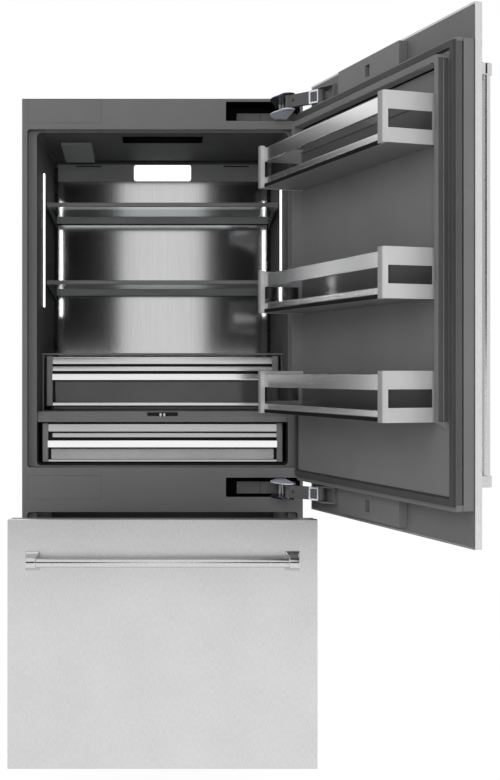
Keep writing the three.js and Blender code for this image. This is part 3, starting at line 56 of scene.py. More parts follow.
# Camera, set where the photographer stood.
cameraSetup = {"place": (0.0, -3.86, 1.2419), "lens": 54.785, "shift": (0.1122, -0.0222)}
bpy.ops.object.camera_add(location=cameraSetup["place"], rotation=(math.radians(90), 0, 0))
camera = bpy.context.object
camera.name = "frontCamera"
camera.data.lens = cameraSetup["lens"]
camera.data.sensor_width = 36
camera.data.shift_x, camera.data.shift_y = cameraSetup["shift"]
bpy.context.scene.camera = camera
bpy.context.scene.view_settings.view_transform = "Standard"
print("camera placed")


# A face or edge counts as square to an axis past the first number, and as lying at a place within the second.
aligned, slack = 0.9, 0.001


# Mesh tools.
def dropPick():
    if bpy.context.object and bpy.context.object.mode != "OBJECT":
        bpy.ops.object.mode_set(mode="OBJECT")
    bpy.ops.object.select_all(action="DESELECT")


def pickOnly(piece):
    dropPick()
    piece.select_set(True)
    bpy.context.view_layer.objects.active = piece


def settle(piece, name):
    pickOnly(piece)
    bpy.ops.object.transform_apply(location=True, rotation=True, scale=True)
    piece.name = name
    piece.data.name = name
    return piece


def addBlock(name, low, high):
    dropPick()
    middle = [(a + b) / 2 for a, b in zip(low, high)]
    bpy.ops.mesh.primitive_cube_add(size=1, location=middle)
    piece = bpy.context.object
    piece.scale = [b - a for a, b in zip(low, high)]
    return settle(piece, name)


def addRod(name, start, end, radius, sides):
    dropPick()
    start, end = Vector(start), Vector(end)
    along = end - start
    turn = along.to_track_quat("Z", "Y").to_euler()
    middle = (start + end) / 2
    bpy.ops.mesh.primitive_cylinder_add(
        vertices=sides, radius=radius, depth=along.length, location=middle, rotation=turn
    )
    return settle(bpy.context.object, name)


def pickFaces(piece, test):
    pickOnly(piece)
    for v in piece.data.vertices:
        v.select = False
    for e in piece.data.edges:
        e.select = False
    for f in piece.data.polygons:
        f.select = bool(test(f.center, f.normal))
    bpy.ops.object.mode_set(mode="EDIT")
    bpy.ops.mesh.select_mode(type="FACE")


def pickEdges(piece, test):
    pickOnly(piece)
    points = piece.data.vertices
    for v in points:
        v.select = False
    for f in piece.data.polygons:
        f.select = False
    for e in piece.data.edges:
        a, b = points[e.vertices[0]].co, points[e.vertices[1]].co
        e.select = bool(test((a + b) / 2, (b - a).normalized()))
    bpy.ops.object.mode_set(mode="EDIT")
    bpy.ops.mesh.select_mode(type="EDGE")


def leaveEdit():
    bpy.ops.object.mode_set(mode="OBJECT")


def bevelEdges(piece, width, steps, test):
    pickEdges(piece, test)
    bpy.ops.mesh.bevel(offset=width, segments=steps, affect="EDGES", clamp_overlap=True)
    leaveEdit()


def moveEdges(piece, test, move):
    pickEdges(piece, test)
    bpy.ops.transform.translate(value=move)
    leaveEdit()


def pressFaces(piece, test, inset, move):
    pickFaces(piece, test)
    bpy.ops.mesh.inset(thickness=inset, depth=0)
    bpy.ops.transform.translate(value=move)
    leaveEdit()


def extrudeFaces(piece, test, move):
    pickFaces(piece, test)
    bpy.ops.mesh.extrude_region_move(TRANSFORM_OT_translate={"value": move})
    leaveEdit()


def narrowFaces(piece, test, factors, centre):
    pickFaces(piece, test)
    bpy.ops.transform.resize(value=factors, center_override=centre)
    leaveEdit()


def cutFaces(piece, test):
    pickFaces(piece, test)
    bpy.ops.mesh.delete(type="FACE")
    leaveEdit()


def sliceAt(piece, axis, *places):
    normal = Vector((axis == "x", axis == "y", axis == "z"))
    for place in places:
        pickOnly(piece)
        bpy.ops.object.mode_set(mode="EDIT")
        bpy.ops.mesh.select_all(action="SELECT")
        bpy.ops.mesh.bisect(plane_co=normal * place, plane_no=normal)
        leaveEdit()


def thickenSheet(piece, thickness):
    pickOnly(piece)
    thicken = piece.modifiers.new("thicken", "SOLIDIFY")
    thicken.thickness = thickness
    thicken.offset = -1
    bpy.ops.object.modifier_apply(modifier=thicken.name)


def softenEdges(piece, width=0.0008, steps=2, angle=35):
    pickOnly(piece)
    bevel = piece.modifiers.new("soften", "BEVEL")
    bevel.width = width
    bevel.segments = steps
    bevel.limit_method = "ANGLE"
    bevel.angle_limit = math.radians(angle)
    bpy.ops.object.modifier_apply(modifier=bevel.name)
    bpy.ops.object.shade_smooth_by_angle(angle=math.radians(40))
    weigh = piece.modifiers.new("weigh", "WEIGHTED_NORMAL")
    weigh.keep_sharp = True
    bpy.ops.object.modifier_apply(modifier=weigh.name)
    return piece


def softBlock(name, low, high, width=0.0008, steps=2):
    return softenEdges(addBlock(name, low, high), width, steps)


def joinPieces(name, pieces):
    dropPick()
    for piece in pieces:
        piece.select_set(True)
    bpy.context.view_layer.objects.active = pieces[0]
    bpy.ops.object.join()
    whole = bpy.context.object
    whole.name = name
    whole.data.name = name
    return whole


# Places.
def lift(q):
    return layout["closedFace"] + q  # a place behind a closed panel's outer face


def sideSpan(side, near, far):
    return sorted((side * near, side * far))  # between two distances from the middle, on one side


def swingDoorOpen(piece):
    x, y = layout["hingeCentre"]
    centre = Matrix.Translation((x, y, 0))
    piece.matrix_world = centre @ Matrix.Rotation(layout["doorOpen"], 4, "Z") @ centre.inverted()
    return settle(piece, piece.name)


def pullDrawerOut(piece):
    piece.matrix_world = Matrix.Translation((0, -layout["drawerOut"], 0))
    return settle(piece, piece.name)


# Shader tools.
def feed(tree, socket, source):
    # a socket is linked, a value is set
    if isinstance(source, bpy.types.NodeSocket):
        tree.links.new(source, socket)
    else:
        socket.default_value = source


def addMix(tree, kind, factor, a, b):
    mix = tree.nodes.new("ShaderNodeMix")
    mix.data_type = kind
    feed(tree, mix.inputs["Factor"], factor)
    feed(tree, mix.inputs["A"], a)
    feed(tree, mix.inputs["B"], b)
    return mix.outputs["Result"]


def addMath(tree, operation, a, b):
    sums = tree.nodes.new("ShaderNodeMath")
    sums.operation = operation
    sums.use_clamp = True
    feed(tree, sums.inputs[0], a)
    feed(tree, sums.inputs[1], b)
    return sums.outputs[0]


def addNoise(tree, vector, scale, detail, roughness=0.5):
    noise = tree.nodes.new("ShaderNodeTexNoise")
    noise.inputs["Detail"].default_value = detail
    noise.inputs["Roughness"].default_value = roughness
    feed(tree, noise.inputs["Scale"], scale)
    feed(tree, noise.inputs["Vector"], vector)
    return noise.outputs["Fac"]


def addSpread(tree, value, low, high):
    spread = tree.nodes.new("ShaderNodeMapRange")
    spread.inputs["From Min"].default_value = low
    spread.inputs["From Max"].default_value = high
    tree.links.new(value, spread.inputs["Value"])
    return spread.outputs["Result"]


def splitVector(tree, vector, axis):
    split = tree.nodes.new("ShaderNodeSeparateXYZ")
    tree.links.new(vector, split.inputs[0])
    return split.outputs[axis]


def startGroup(name, inputs):
    # each group takes a place and gives a colour, a roughness and a height
    group = bpy.data.node_groups.new(name, "ShaderNodeTree")
    group.interface.new_socket(name="Vector", in_out="INPUT", socket_type="NodeSocketVector")
    for label, (kind, value) in inputs.items():
        socket = group.interface.new_socket(name=label, in_out="INPUT", socket_type="NodeSocket" + kind)
        socket.default_value = value
    for label, kind in (("Color", "Color"), ("Roughness", "Float"), ("Height", "Float")):
        group.interface.new_socket(name=label, in_out="OUTPUT", socket_type="NodeSocket" + kind)
    return group, group.nodes.new("NodeGroupInput").outputs, group.nodes.new("NodeGroupOutput").inputs


def makeGrainGroup():
    inputs = {
        "Stretch": ("Vector", (900.0, 900.0, 12.0)),
        "Dark": ("Color", (0.5, 0.5, 0.5, 1)),
        "Light": ("Color", (0.8, 0.8, 0.8, 1)),
        "Smooth": ("Float", 0.25),
        "Rough": ("Float", 0.4),
    }
    group, given, result = startGroup("metalGrain", inputs)
    stretch = group.nodes.new("ShaderNodeVectorMath")
    stretch.operation = "MULTIPLY"
    group.links.new(given["Vector"], stretch.inputs[0])
    group.links.new(given["Stretch"], stretch.inputs[1])
    lines = addNoise(group, stretch.outputs[0], 1, 4, 0.65)
    clouds = addNoise(group, given["Vector"], 7, 3)
    share = addSpread(group, addMix(group, "FLOAT", 0.12, lines, clouds), 0.3, 0.7)
    feed(group, result["Color"], addMix(group, "RGBA", share, given["Dark"], given["Light"]))
    feed(group, result["Roughness"], addMix(group, "FLOAT", share, given["Rough"], given["Smooth"]))
    feed(group, result["Height"], lines)
    return group


def makeSkinGroup():
    inputs = {
        "Scale": ("Float", 900.0),
        "Dark": ("Color", (0.1, 0.1, 0.1, 1)),
        "Light": ("Color", (0.12, 0.12, 0.12, 1)),
        "Smooth": ("Float", 0.35),
        "Rough": ("Float", 0.5),
        "UpwardGrey": ("Float", 0.1),
    }
    group, given, result = startGroup("mouldedSkin", inputs)
    pebbles = addNoise(group, given["Vector"], given["Scale"], 2)
    clouds = addNoise(group, given["Vector"], 5, 4)
    tone = addMix(group, "RGBA", addSpread(group, clouds, 0.35, 0.65), given["Dark"], given["Light"])
    facing = group.nodes.new("ShaderNodeNewGeometry")
    upward = splitVector(group, facing.outputs["Normal"], "Z")
    # faces are mixed towards a light grey the more they face upward
    upwardGreyShare = addMath(group, "MULTIPLY", upward, given["UpwardGrey"])
    feed(group, result["Color"], addMix(group, "RGBA", upwardGreyShare, tone, (0.4, 0.4, 0.4, 1)))
    feed(group, result["Roughness"], addMix(group, "FLOAT", pebbles, given["Smooth"], given["Rough"]))
    feed(group, result["Height"], pebbles)
    return group


grainGroup = makeGrainGroup()
skinGroup = makeSkinGroup()
finishes = {}
bumpHeight = {"metal": 0.0004, "skin": 0.0003}


def tint(tone):
    # a grey by its brightness, or a colour as given
    return (*(tone if isinstance(tone, tuple) else (tone, tone, tone * 1.01)), 1)


def startFinish(name, groupTree, settings, relief, toned=True):
    finishes[name] = bpy.data.materials.new(name)
    finishes[name].use_nodes = True
    tree = finishes[name].node_tree
    shader = tree.nodes["Principled BSDF"]
    where = tree.nodes.new("ShaderNodeTexCoord")
    group = tree.nodes.new("ShaderNodeGroup")
    group.node_tree = groupTree
    for label, value in settings.items():
        group.inputs[label].default_value = value
    tree.links.new(where.outputs["Object"], group.inputs["Vector"])
    if toned:
        tree.links.new(group.outputs["Color"], shader.inputs["Base Color"])
    tree.links.new(group.outputs["Roughness"], shader.inputs["Roughness"])
    bump = tree.nodes.new("ShaderNodeBump")
    for label, value in relief.items():
        bump.inputs[label].default_value = value
    tree.links.new(group.outputs["Height"], bump.inputs["Height"])
    tree.links.new(bump.outputs["Normal"], shader.inputs["Normal"])
    return shader


def gatherTones(dark, light, smooth, rough):
    return {"Dark": tint(dark), "Light": tint(light), "Smooth": smooth, "Rough": rough}


def metalFinish(name, dark, light, smooth, rough, stretch, bump):
    settings = {**gatherTones(dark, light, smooth, rough), "Stretch": stretch}
    shader = startFinish(name, grainGroup, settings, {"Strength": bump, "Distance": bumpHeight["metal"]})
    shader.inputs["Metallic"].default_value = 1


def skinFinish(name, dark, light, smooth, rough, scale, upwardGrey, bump, coat=0.0):
    settings = {**gatherTones(dark, light, smooth, rough), "Scale": scale, "UpwardGrey": upwardGrey}
    shader = startFinish(name, skinGroup, settings, {"Strength": bump, "Distance": bumpHeight["skin"]})
    shader.inputs["Coat Weight"].default_value = coat


def glassFinish(name, color, rough, share):
    settings = {"Smooth": rough, "Rough": rough + 0.03, "Scale": 60}
    shader = startFinish(name, skinGroup, settings, {"Strength": 0.01}, toned=False)
    shader.inputs["Base Color"].default_value = (*color, 1)
    shader.inputs["Metallic"].default_value = 0
    shader.inputs["IOR"].default_value = 1.45
    shader.inputs["Transmission Weight"].default_value = share


def glowFinish(name, seen, mirrored, cast):
    settings = {"Dark": (0.75, 0.75, 0.75, 1), "Light": (0.85, 0.85, 0.85, 1), "Scale": 300}
    shader = startFinish(name, skinGroup, settings, {"Strength": 0.02})
    shader.inputs["Emission Color"].default_value = (1, 1, 1, 1)
    tree = finishes[name].node_tree
    rays = tree.nodes.new("ShaderNodeLightPath").outputs
    inMetal = addMix(tree, "FLOAT", rays["Is Glossy Ray"], seen, mirrored)
    level = addMix(tree, "FLOAT", rays["Is Diffuse Ray"], inMetal, cast)
    feed(tree, shader.inputs["Emission Strength"], level)


# Metals: dark and light tone, smooth and rough end of the polish, stretch of the grain, bump.
metals = {
    "frontSteel": (0.58, 0.80, 0.30, 0.42, (1300, 1300, 70), 0.12),
    "backSteel": (0.55, 0.61, 0.07, 0.10, (500, 500, 3), 0.0),
    "handleSteel": (0.55, 0.68, 0.12, 0.22, (300, 300, 300), 0.02),
    "railAluminium": (0.64, 0.70, 0.16, 0.2, (3, 900, 900), 0.0),
    "pullAluminium": (0.83, 0.87, 0.16, 0.2, (3, 900, 900), 0.0),
    "lowRail": (0.44, 0.49, 0.16, 0.2, (3, 900, 900), 0.0),
    "lowPull": (0.90, 0.94, 0.09, 0.12, (3, 900, 900), 0.0),
    "binAluminium": (0.80, 0.86, 0.22, 0.28, (4, 4, 900), 0.0),
    "coilAluminium": (0.5, 0.65, 0.35, 0.5, (100, 100, 900), 0.1),
    "hingeZinc": ((0.62, 0.65, 0.74), (0.75, 0.78, 0.86), 0.16, 0.3, (200, 200, 200), 0.04),
    # painted shade: a dark navy copy of the hinge colour for the shaded leaf
    "hingeNavyPaintedShade": ((0.07, 0.08, 0.14), (0.10, 0.12, 0.20), 0.2, 0.3, (200, 200, 200), 0.04),
    "darkZinc": (0.25, 0.35, 0.3, 0.45, (200, 200, 200), 0.05),
    "slideZinc": (0.5, 0.62, 0.3, 0.5, (60, 900, 900), 0.06),
}

# Paints and plastics: dark and light tone, smooth and rough end, size of the grain, greying of upward faces,
# bump, coat.
skins = {
    "framePaint": (0.125, 0.135, 0.42, 0.5, 1400, 0.02, 0.06),
    "shellPaint": (0.105, 0.112, 0.4, 0.5, 900, 0.03, 0.08),
    "linerPlastic": (0.085, 0.095, 0.5, 0.62, 1200, 0.0, 0.05),
    "wallPlastic": (0.085, 0.095, 0.5, 0.62, 1200, 0.0, 0.05),
    # painted light: the freezer's walls get a far lighter grey than the other liners, standing for light
    # inside the freezer
    "freezerWallPaintedLight": (0.34, 0.38, 0.5, 0.62, 1200, 0.0, 0.05),
    "doorLining": (0.135, 0.15, 0.5, 0.62, 1200, 0.0, 0.05),
    "housingPlastic": (0.13, 0.15, 0.45, 0.6, 1200, 0.0, 0.05),
    "panelLining": (0.115, 0.13, 0.5, 0.6, 900, 0.0, 0.05),
    # painted light: a lighter grey for the underside of the door liner's top rim
    "rimUnderPaintedLight": (0.26, 0.29, 0.5, 0.6, 900, 0.0, 0.05),
    "blankEdge": (0.075, 0.085, 0.42, 0.5, 1400, 0.0, 0.05),
    "blackPlastic": (0.012, 0.018, 0.35, 0.5, 900, 0.05, 0.1),
    "displayBlack": (0.002, 0.003, 0.5, 0.6, 200, 0.0, 0.01),
    # painted shade: near-black for the hinge pockets, the door box's seam and the strip under the door's top
    # rim
    "paintedShadeBlack": (0.003, 0.005, 0.5, 0.6, 700, 0.0, 0.05),
    "blackPaint": (0.015, 0.022, 0.25, 0.4, 500, 0.1, 0.1),
    "barPaint": (0.065, 0.085, 0.4, 0.5, 900, 0.0, 0.06),
    "leafPaint": ((0.55, 0.58, 0.68), (0.62, 0.65, 0.76), 0.25, 0.35, 600, 0.0, 0.03),
    "bracketPaint": (0.02, 0.03, 0.35, 0.5, 700, 0.0, 0.08),
    "sealRubber": (0.035, 0.045, 0.6, 0.75, 600, 0.02, 0.15),
    "sealFoldAndRimShade": (0.055, 0.065, 0.5, 0.65, 700, 0.0, 0.06),
    "foldLine": (0.13, 0.15, 0.4, 0.5, 700, 0.0, 0.04),
    "capGrey": (0.42, 0.48, 0.45, 0.6, 900, 0.0, 0.06),
    # painted shade: a darker copy of the cap grey for the caps' fronts
    "capPaintedShade": (0.24, 0.28, 0.45, 0.6, 900, 0.0, 0.06),
    "trayGrey": (0.16, 0.18, 0.5, 0.6, 900, 0.0, 0.05),
    "binTray": (0.012, 0.018, 0.3, 0.45, 900, 0.0, 0.06),
    "shelfTrim": (0.11, 0.13, 0.45, 0.6, 900, 0.0, 0.04),
    "stileGrey": (0.16, 0.19, 0.3, 0.4, 900, 0.0, 0.05),
    "deckPlastic": (0.11, 0.13, 0.28, 0.38, 900, 0.0, 0.05),
    "greyPlastic": (0.20, 0.25, 0.3, 0.4, 900, 0.02, 0.05),
    "sliderGrey": (0.55, 0.62, 0.3, 0.4, 900, 0.0, 0.05),
    "smokedFront": (0.035, 0.045, 0.12, 0.18, 60, 0.0, 0.01, 0.3),
    "greyFront": (0.34, 0.40, 0.2, 0.3, 60, 0.0, 0.01, 0.2),
}

# Finishes that shine less than plain plastic or glass: specular level and index of refraction.
dulled = {
    "linerPlastic": (0.25, 1.5),
    "displayBlack": (0.05, 1.03),
    "blackPlastic": (0.2, 1.2),
    "binTray": (0.1, 1.05),
    "smokedPane": (0.3, 1.15),
    "paintedShadeBlack": (0.05, 1.03),
    "wallPlastic": (0.08, 1.15),
    "shelfGlass": (0.5, 1.06),
}

# Mouldings whose rim, in front of the edge, has the frame's paint.
paintedRim = {"edge": -0.018, "tone": 0.15, "finishes": ("wallPlastic", "freezerWallPaintedLight")}


def paintRim(finish, edge, tone):
    tree = finishes[finish].node_tree
    color = tree.nodes["Principled BSDF"].inputs["Base Color"]
    below = color.links[0].from_socket
    place = splitVector(tree, tree.nodes["Texture Coordinate"].outputs["Object"], "Y")
    front = addMath(tree, "LESS_THAN", place, edge)
    feed(tree, color, addMix(tree, "RGBA", front, below, tint(tone)))


for name, values in metals.items():
    metalFinish(name, *values)
for name, values in skins.items():
    skinFinish(name, *values)
glassFinish("shelfGlass", (0.80, 0.86, 0.86), 0.02, 1.0)
glassFinish("smokedBin", (0.25, 0.25, 0.26), 0.08, 0.85)
glassFinish("smokedPane", (0.62, 0.62, 0.63), 0.05, 1.0)
glowFinish("lampGlow", 1.6, 1.2, 0.9)
glowFinish("barGlow", 2.0, 7.5, 0.55)
for name, (level, index) in dulled.items():
    shader = finishes[name].node_tree.nodes["Principled BSDF"]
    shader.inputs["Specular IOR Level"].default_value = level
    shader.inputs["IOR"].default_value = index
for name in paintedRim["finishes"]:
    paintRim(name, paintedRim["edge"], paintedRim["tone"])
print("finishes made")


def dress(piece, finish):
    piece.data.materials.clear()
    piece.data.materials.append(finishes[finish])


nodeFinishes = {
    "framePaint": [
        "front_frame", "hinge_blank_upper", "hinge_blank_lower", "kick_panel", "door_box",
        "freezer_box",
    ],
    "shellPaint": ["cabinet_shell"],
    "linerPlastic": ["freezer_back_panel", "drawer_deck"],
    "doorLining": ["door_liner"],
    "wallPlastic": ["fridge_liner"],
    "freezerWallPaintedLight": ["freezer_liner"],
    "housingPlastic": ["ceiling_air_housing"],
    "backSteel": ["fridge_back_panel"],
    "blackPlastic": ["fridge_fan", "freezer_fan", "condenser_fan", "rear_roller_left", "rear_roller_right"],
    "coilAluminium": ["fridge_evaporator", "freezer_evaporator"],
    "lampGlow": ["rear_lamp_lens"],
    "barGlow": ["led_bar_left", "led_bar_right"],
    "displayBlack": ["ceiling_display_strip"],
    "railAluminium": [
        "upper_shelf_frame", "middle_shelf_frame", "upper_crisper_front", "lower_crisper_front",
        "upper_door_bin", "middle_door_bin", "lower_door_bin",
    ],
    "shelfGlass": ["upper_shelf_glass", "middle_shelf_glass", "upper_drawer_cover_glass"],
    "smokedBin": ["upper_crisper_bin", "lower_crisper_bin", "freezer_basket"],
    "greyPlastic": ["humidity_slider", "freezer_tray"],
    "blackPaint": ["levelling_foot_left", "levelling_foot_right", "compressor", "condenser"],
    "slideZinc": ["rear_grille", "freezer_slide_left", "freezer_slide_right", "drawer_carriage"],
    "frontSteel": ["door_panel", "freezer_panel"],
    "handleSteel": ["door_handle", "freezer_handle"],
    "sealRubber": ["door_gasket", "freezer_gasket"],
    "hingeZinc": [
        "upper_hinge_plate", "lower_hinge_plate", "upper_hinge_leaf", "lower_hinge_leaf",
        "upper_hinge_bar", "lower_hinge_bar",
    ],
}
for finish, names in nodeFinishes.items():
    for name in names:
        dress(nodes[name], finish)
print("nodes dressed")


def fit(piece, body, slotName, finish, *replaced):
    dress(piece, finish)
    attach(piece, body)
    if replaced:
        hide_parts(*replaced)


# Fine line round each blanked hinge pocket on the left.
blankLine = {"width": 0.0013, "proud": 0.00025, "sink": 0.0002, "round": 0.0001}


def makeBlankLine(name):
    low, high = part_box(name)
    w, front = blankLine["width"], layout["cabinetFront"] - blankLine["proud"]
    back = layout["cabinetFront"] + blankLine["sink"]
    strips = []
    for x0, x1, z0, z1 in (
        (low[0] - w, high[0] + w, high[2], high[2] + w),
        (low[0] - w, high[0] + w, low[2] - w, low[2]),
        (low[0] - w, low[0], low[2], high[2]),
        (high[0], high[0] + w, low[2], high[2]),
    ):
        strip = addBlock("blankLine", (x0, front, z0), (x1, back, z1))
        bevelEdges(strip, blankLine["round"], 2, lambda m, d: m.y < front + 0.0001)
        strips.append(softenEdges(strip, blankLine["round"] / 2, 1))
    fit(joinPieces(name + "Line", strips), "cabinet", "frame", "blankEdge")


makeBlankLine("hinge_blank_upper")
makeBlankLine("hinge_blank_lower")
print("blanks outlined")


# Steel panels of the door and the drawer, with folded edges, and the painted sheets that close their backs.
panelSheet = {
    "thickness": 0.020,
    "edgeRadius": 0.0016,
    "hem": 0.004,
    "hemDepth": 0.0015,
    "liningGap": 0.0006,
    "liningCorner": 0.003,
}


def makePanel(name, bottom, top):
    half = layout["halfPanel"]
    face = layout["closedFace"]
    back = face + panelSheet["thickness"]
    panel = addBlock(name, (-half, face, bottom), (half, back, top))
    pressFaces(panel, lambda c, n: n.y > aligned, panelSheet["hem"], (0, -panelSheet["hemDepth"], 0))
    bevelEdges(panel, panelSheet["edgeRadius"], 3, lambda m, d: m.y < face + 0.0001)
    bevelEdges(panel, panelSheet["edgeRadius"], 2, lambda m, d: abs(d.y) > aligned)
    bpy.ops.object.shade_smooth_by_angle(angle=math.radians(40))
    return panel


def makePanelLining(name, bottom, top):
    inner = panelSheet["hem"] + panelSheet["liningGap"]
    half = layout["halfPanel"] - inner
    back = layout["closedFace"] + panelSheet["thickness"]
    low = (-half, back - panelSheet["hemDepth"] + 0.0001, bottom + inner)
    lining = addBlock(name, low, (half, back - 0.0003, top - inner))
    bevelEdges(lining, panelSheet["liningCorner"], 3, lambda m, d: abs(d.y) > aligned)
    return softenEdges(lining, 0.0003, 1)


doors = (("door", "door_panel", swingDoorOpen), ("drawer", "freezer_panel", pullDrawerOut))
for body, node, setInPlace in doors:
    panel = setInPlace(makePanel(body + "Panel", *layout[body + "Span"]))
    fit(panel, body, "stainless", "frontSteel", node)
for body, node, setInPlace in doors:
    lining = setInPlace(makePanelLining(body + "PanelLining", *layout[body + "Span"]))
    fit(lining, body, "frame", "panelLining")
print("panels made")


# Bar handles: a round bar in two flared posts, each with a collar ring.
handleShape = {
    "sides": 48,
    "barRadius": 0.0132,
    "barInset": 0.004,  # the bar ends inside its collars
    "collarRadius": 0.0170,
    "collarLength": 0.030,
    "standoff": 0.045,
    "baseWidth": 0.043,
    "baseHeight": 0.056,
    "neckWidth": 0.026,
    "waist": 0.012,  # the post narrows here, in front of the panel
    "foot": 0.005,
    "waistShare": (0.78, 1, 0.74),
    "door": {"length": 1.042, "inset": 0.058, "height": 1.481},
    "drawer": {"length": 0.790, "height": 0.692},
}


def makeHandle(name, length):
    shape = handleShape
    half = length / 2
    out = -shape["standoff"]
    end = half - shape["barInset"]
    bar = addRod(name + "Bar", (-end, out, 0), (end, out, 0), shape["barRadius"], shape["sides"])
    parts = [softenEdges(bar, 0.002, 3)]
    for side in (-1, 1):
        inner = side * (half - shape["collarLength"])
        ends = (inner, out, 0), (side * half, out, 0)
        collar = addRod(name + "Collar", *ends, shape["collarRadius"], shape["sides"])
        softenEdges(collar, 0.0025, 3)
        middle = side * (half - shape["collarLength"] / 2)
        low = (middle - shape["baseWidth"] / 2, out, -shape["baseHeight"] / 2)
        high = (middle + shape["baseWidth"] / 2, -0.0003, shape["baseHeight"] / 2)
        post = addBlock(name + "Post", low, high)
        sliceAt(post, "y", -shape["waist"], -shape["foot"])
        neck = shape["neckWidth"] / shape["baseWidth"]
        rise = shape["neckWidth"] / shape["baseHeight"]
        narrowFaces(post, lambda c, n: n.y < -aligned, (neck, 1, rise), (middle, out, 0))
        pickEdges(post, lambda m, d: abs(m.y + shape["waist"]) < 0.0002 and abs(d.y) < 0.1)
        bpy.ops.transform.resize(value=shape["waistShare"], center_override=(middle, -shape["waist"], 0))
        leaveEdit()
        softenEdges(post, 0.0022, 3, 12)
        parts += [collar, post]
    return joinPieces(name, parts)


place = handleShape["door"]
doorHandle = makeHandle("doorHandle", place["length"])
doorHandle.rotation_euler = (0, math.radians(90), 0)
doorHandle.location = (-layout["halfPanel"] + place["inset"], layout["closedFace"], place["height"])
settle(doorHandle, "doorHandle")
fit(swingDoorOpen(doorHandle), "door", "handle", "handleSteel", "door_handle")
place = handleShape["drawer"]
drawerHandle = makeHandle("drawerHandle", place["length"])
drawerHandle.location = (0, lift(-layout["drawerOut"]), place["height"])
settle(drawerHandle, "drawerHandle")
fit(drawerHandle, "drawer", "handle", "handleSteel", "freezer_handle")
print("handles made")


# Cold compartment: polished back sheet with air slits, and two shelf ladders.
backSheet = {
    "half": 0.3818,
    "front": 0.4877,
    "rear": 0.4895,
    "slit": (0.222, 0.317),
    "slitHeight": 0.006,
    "slitRim": 0.0006,
    "slitDepth": 0.0012,
    "slitBottoms": (1.994, 1.794, 1.524),
    "coverFront": 0.4862,
    "coverBottom": 1.942,
    "coverGap": 0.0005,
    "ladderHalf": (0.3825, 0.3945),
    "ladderFront": 0.478,
    "ladderBottom": 1.330,
    "ladderTop": 1.990,
    "ladderStart": 0.010,
    "ladderPitch": 0.045,
    "ladderSlot": 0.016,
    "ladderRim": 0.003,
    "ladderSink": 0.006,
}


def makeBackSheet():
    b = backSheet
    near, far = b["slit"]
    low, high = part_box("fridge_back_panel")
    sheet = addBlock("backSheet", (-b["half"], b["front"], low[2]), (b["half"], b["rear"], high[2]))
    for bottom in b["slitBottoms"]:
        sliceAt(sheet, "z", bottom, bottom + b["slitHeight"])
    sliceAt(sheet, "x", -far, -near, near, far)

    def inSlit(c, n):
        inside = n.y < -aligned and near < abs(c.x) < far
        return inside and any(z < c.z < z + b["slitHeight"] for z in b["slitBottoms"])

    pressFaces(sheet, inSlit, b["slitRim"], (0, b["slitDepth"], 0))
    bpy.ops.object.shade_flat()
    fit(sheet, "cabinet", "liner", "backSteel", "fridge_back_panel")
    # black strips in the pressed slits stand for the dark openings: painted shade
    shades = []
    for bottom in b["slitBottoms"]:
        front = b["coverFront"] - 0.0003 if bottom > b["coverBottom"] else b["front"] + 0.0003
        for side in (-1, 1):
            left, right = sideSpan(side, near + 0.001, far - 0.001)
            low, high = bottom + 0.0009, bottom + b["slitHeight"] - 0.0009
            shades.append(softBlock("airSlitShade", (left, front, low), (right, front + 0.0008, high), 0.0002, 1))
    fit(joinPieces("airSlitShades", shades), "cabinet", "black_plastic", "blackPlastic")


def makeDuctCover():
    # matt cover over the sheet's upper edge, left and right of the lamp and above it
    b = backSheet
    lampLow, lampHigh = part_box("rear_lamp_lens")
    rear, top = b["front"] - 0.0002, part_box("fridge_back_panel")[1][2] - 0.002
    left, right = lampLow[0] - b["coverGap"], lampHigh[0] + b["coverGap"]
    covers = []
    for start, end, bottom in (
        (-b["half"], left, b["coverBottom"]),
        (right, b["half"], b["coverBottom"]),
        (left, right, lampHigh[2] + b["coverGap"]),
    ):
        cover = addBlock("ductCover", (start, b["coverFront"], bottom), (end, rear, top))
        pressFaces(cover, lambda c, n: n.y > aligned, 0.002, (0, -0.0004, 0))
        covers.append(softenEdges(cover, 0.0003, 1))
    fit(joinPieces("ductCover", covers), "cabinet", "liner", "housingPlastic")


def makeLadders():
    b = backSheet
    ladders = []
    for side in (-1, 1):
        left, right = sideSpan(side, *b["ladderHalf"])
        low = (left, b["ladderFront"], b["ladderBottom"])
        ladder = addBlock("shelfLadder", low, (right, b["rear"], b["ladderTop"]))
        slots = []
        z = b["ladderBottom"] + b["ladderStart"]
        while z + b["ladderSlot"] < b["ladderTop"]:
            slots.append(z)
            sliceAt(ladder, "z", z, z + b["ladderSlot"])
            z += b["ladderPitch"]
        pickFaces(ladder, lambda f, n: n.y < -aligned and any(q < f.z < q + b["ladderSlot"] for q in slots))
        bpy.ops.mesh.inset(thickness=b["ladderRim"], depth=0, use_individual=True)
        bpy.ops.transform.translate(value=(0, b["ladderSink"], 0))
        leaveEdit()
        ladders.append(softenEdges(ladder, 0.0004, 1))
    fit(joinPieces("shelfLadders", ladders), "cabinet", "black_plastic", "blackPlastic")


# Thin light bars in the side walls, each in front of its channel.
lightBar = {
    "half": (0.3978, 0.4016),
    "front": 0.1415,
    "rear": 0.1650,
    "round": 0.0017,
    "base": 0.0007,
    "bottom": 1.464,
}


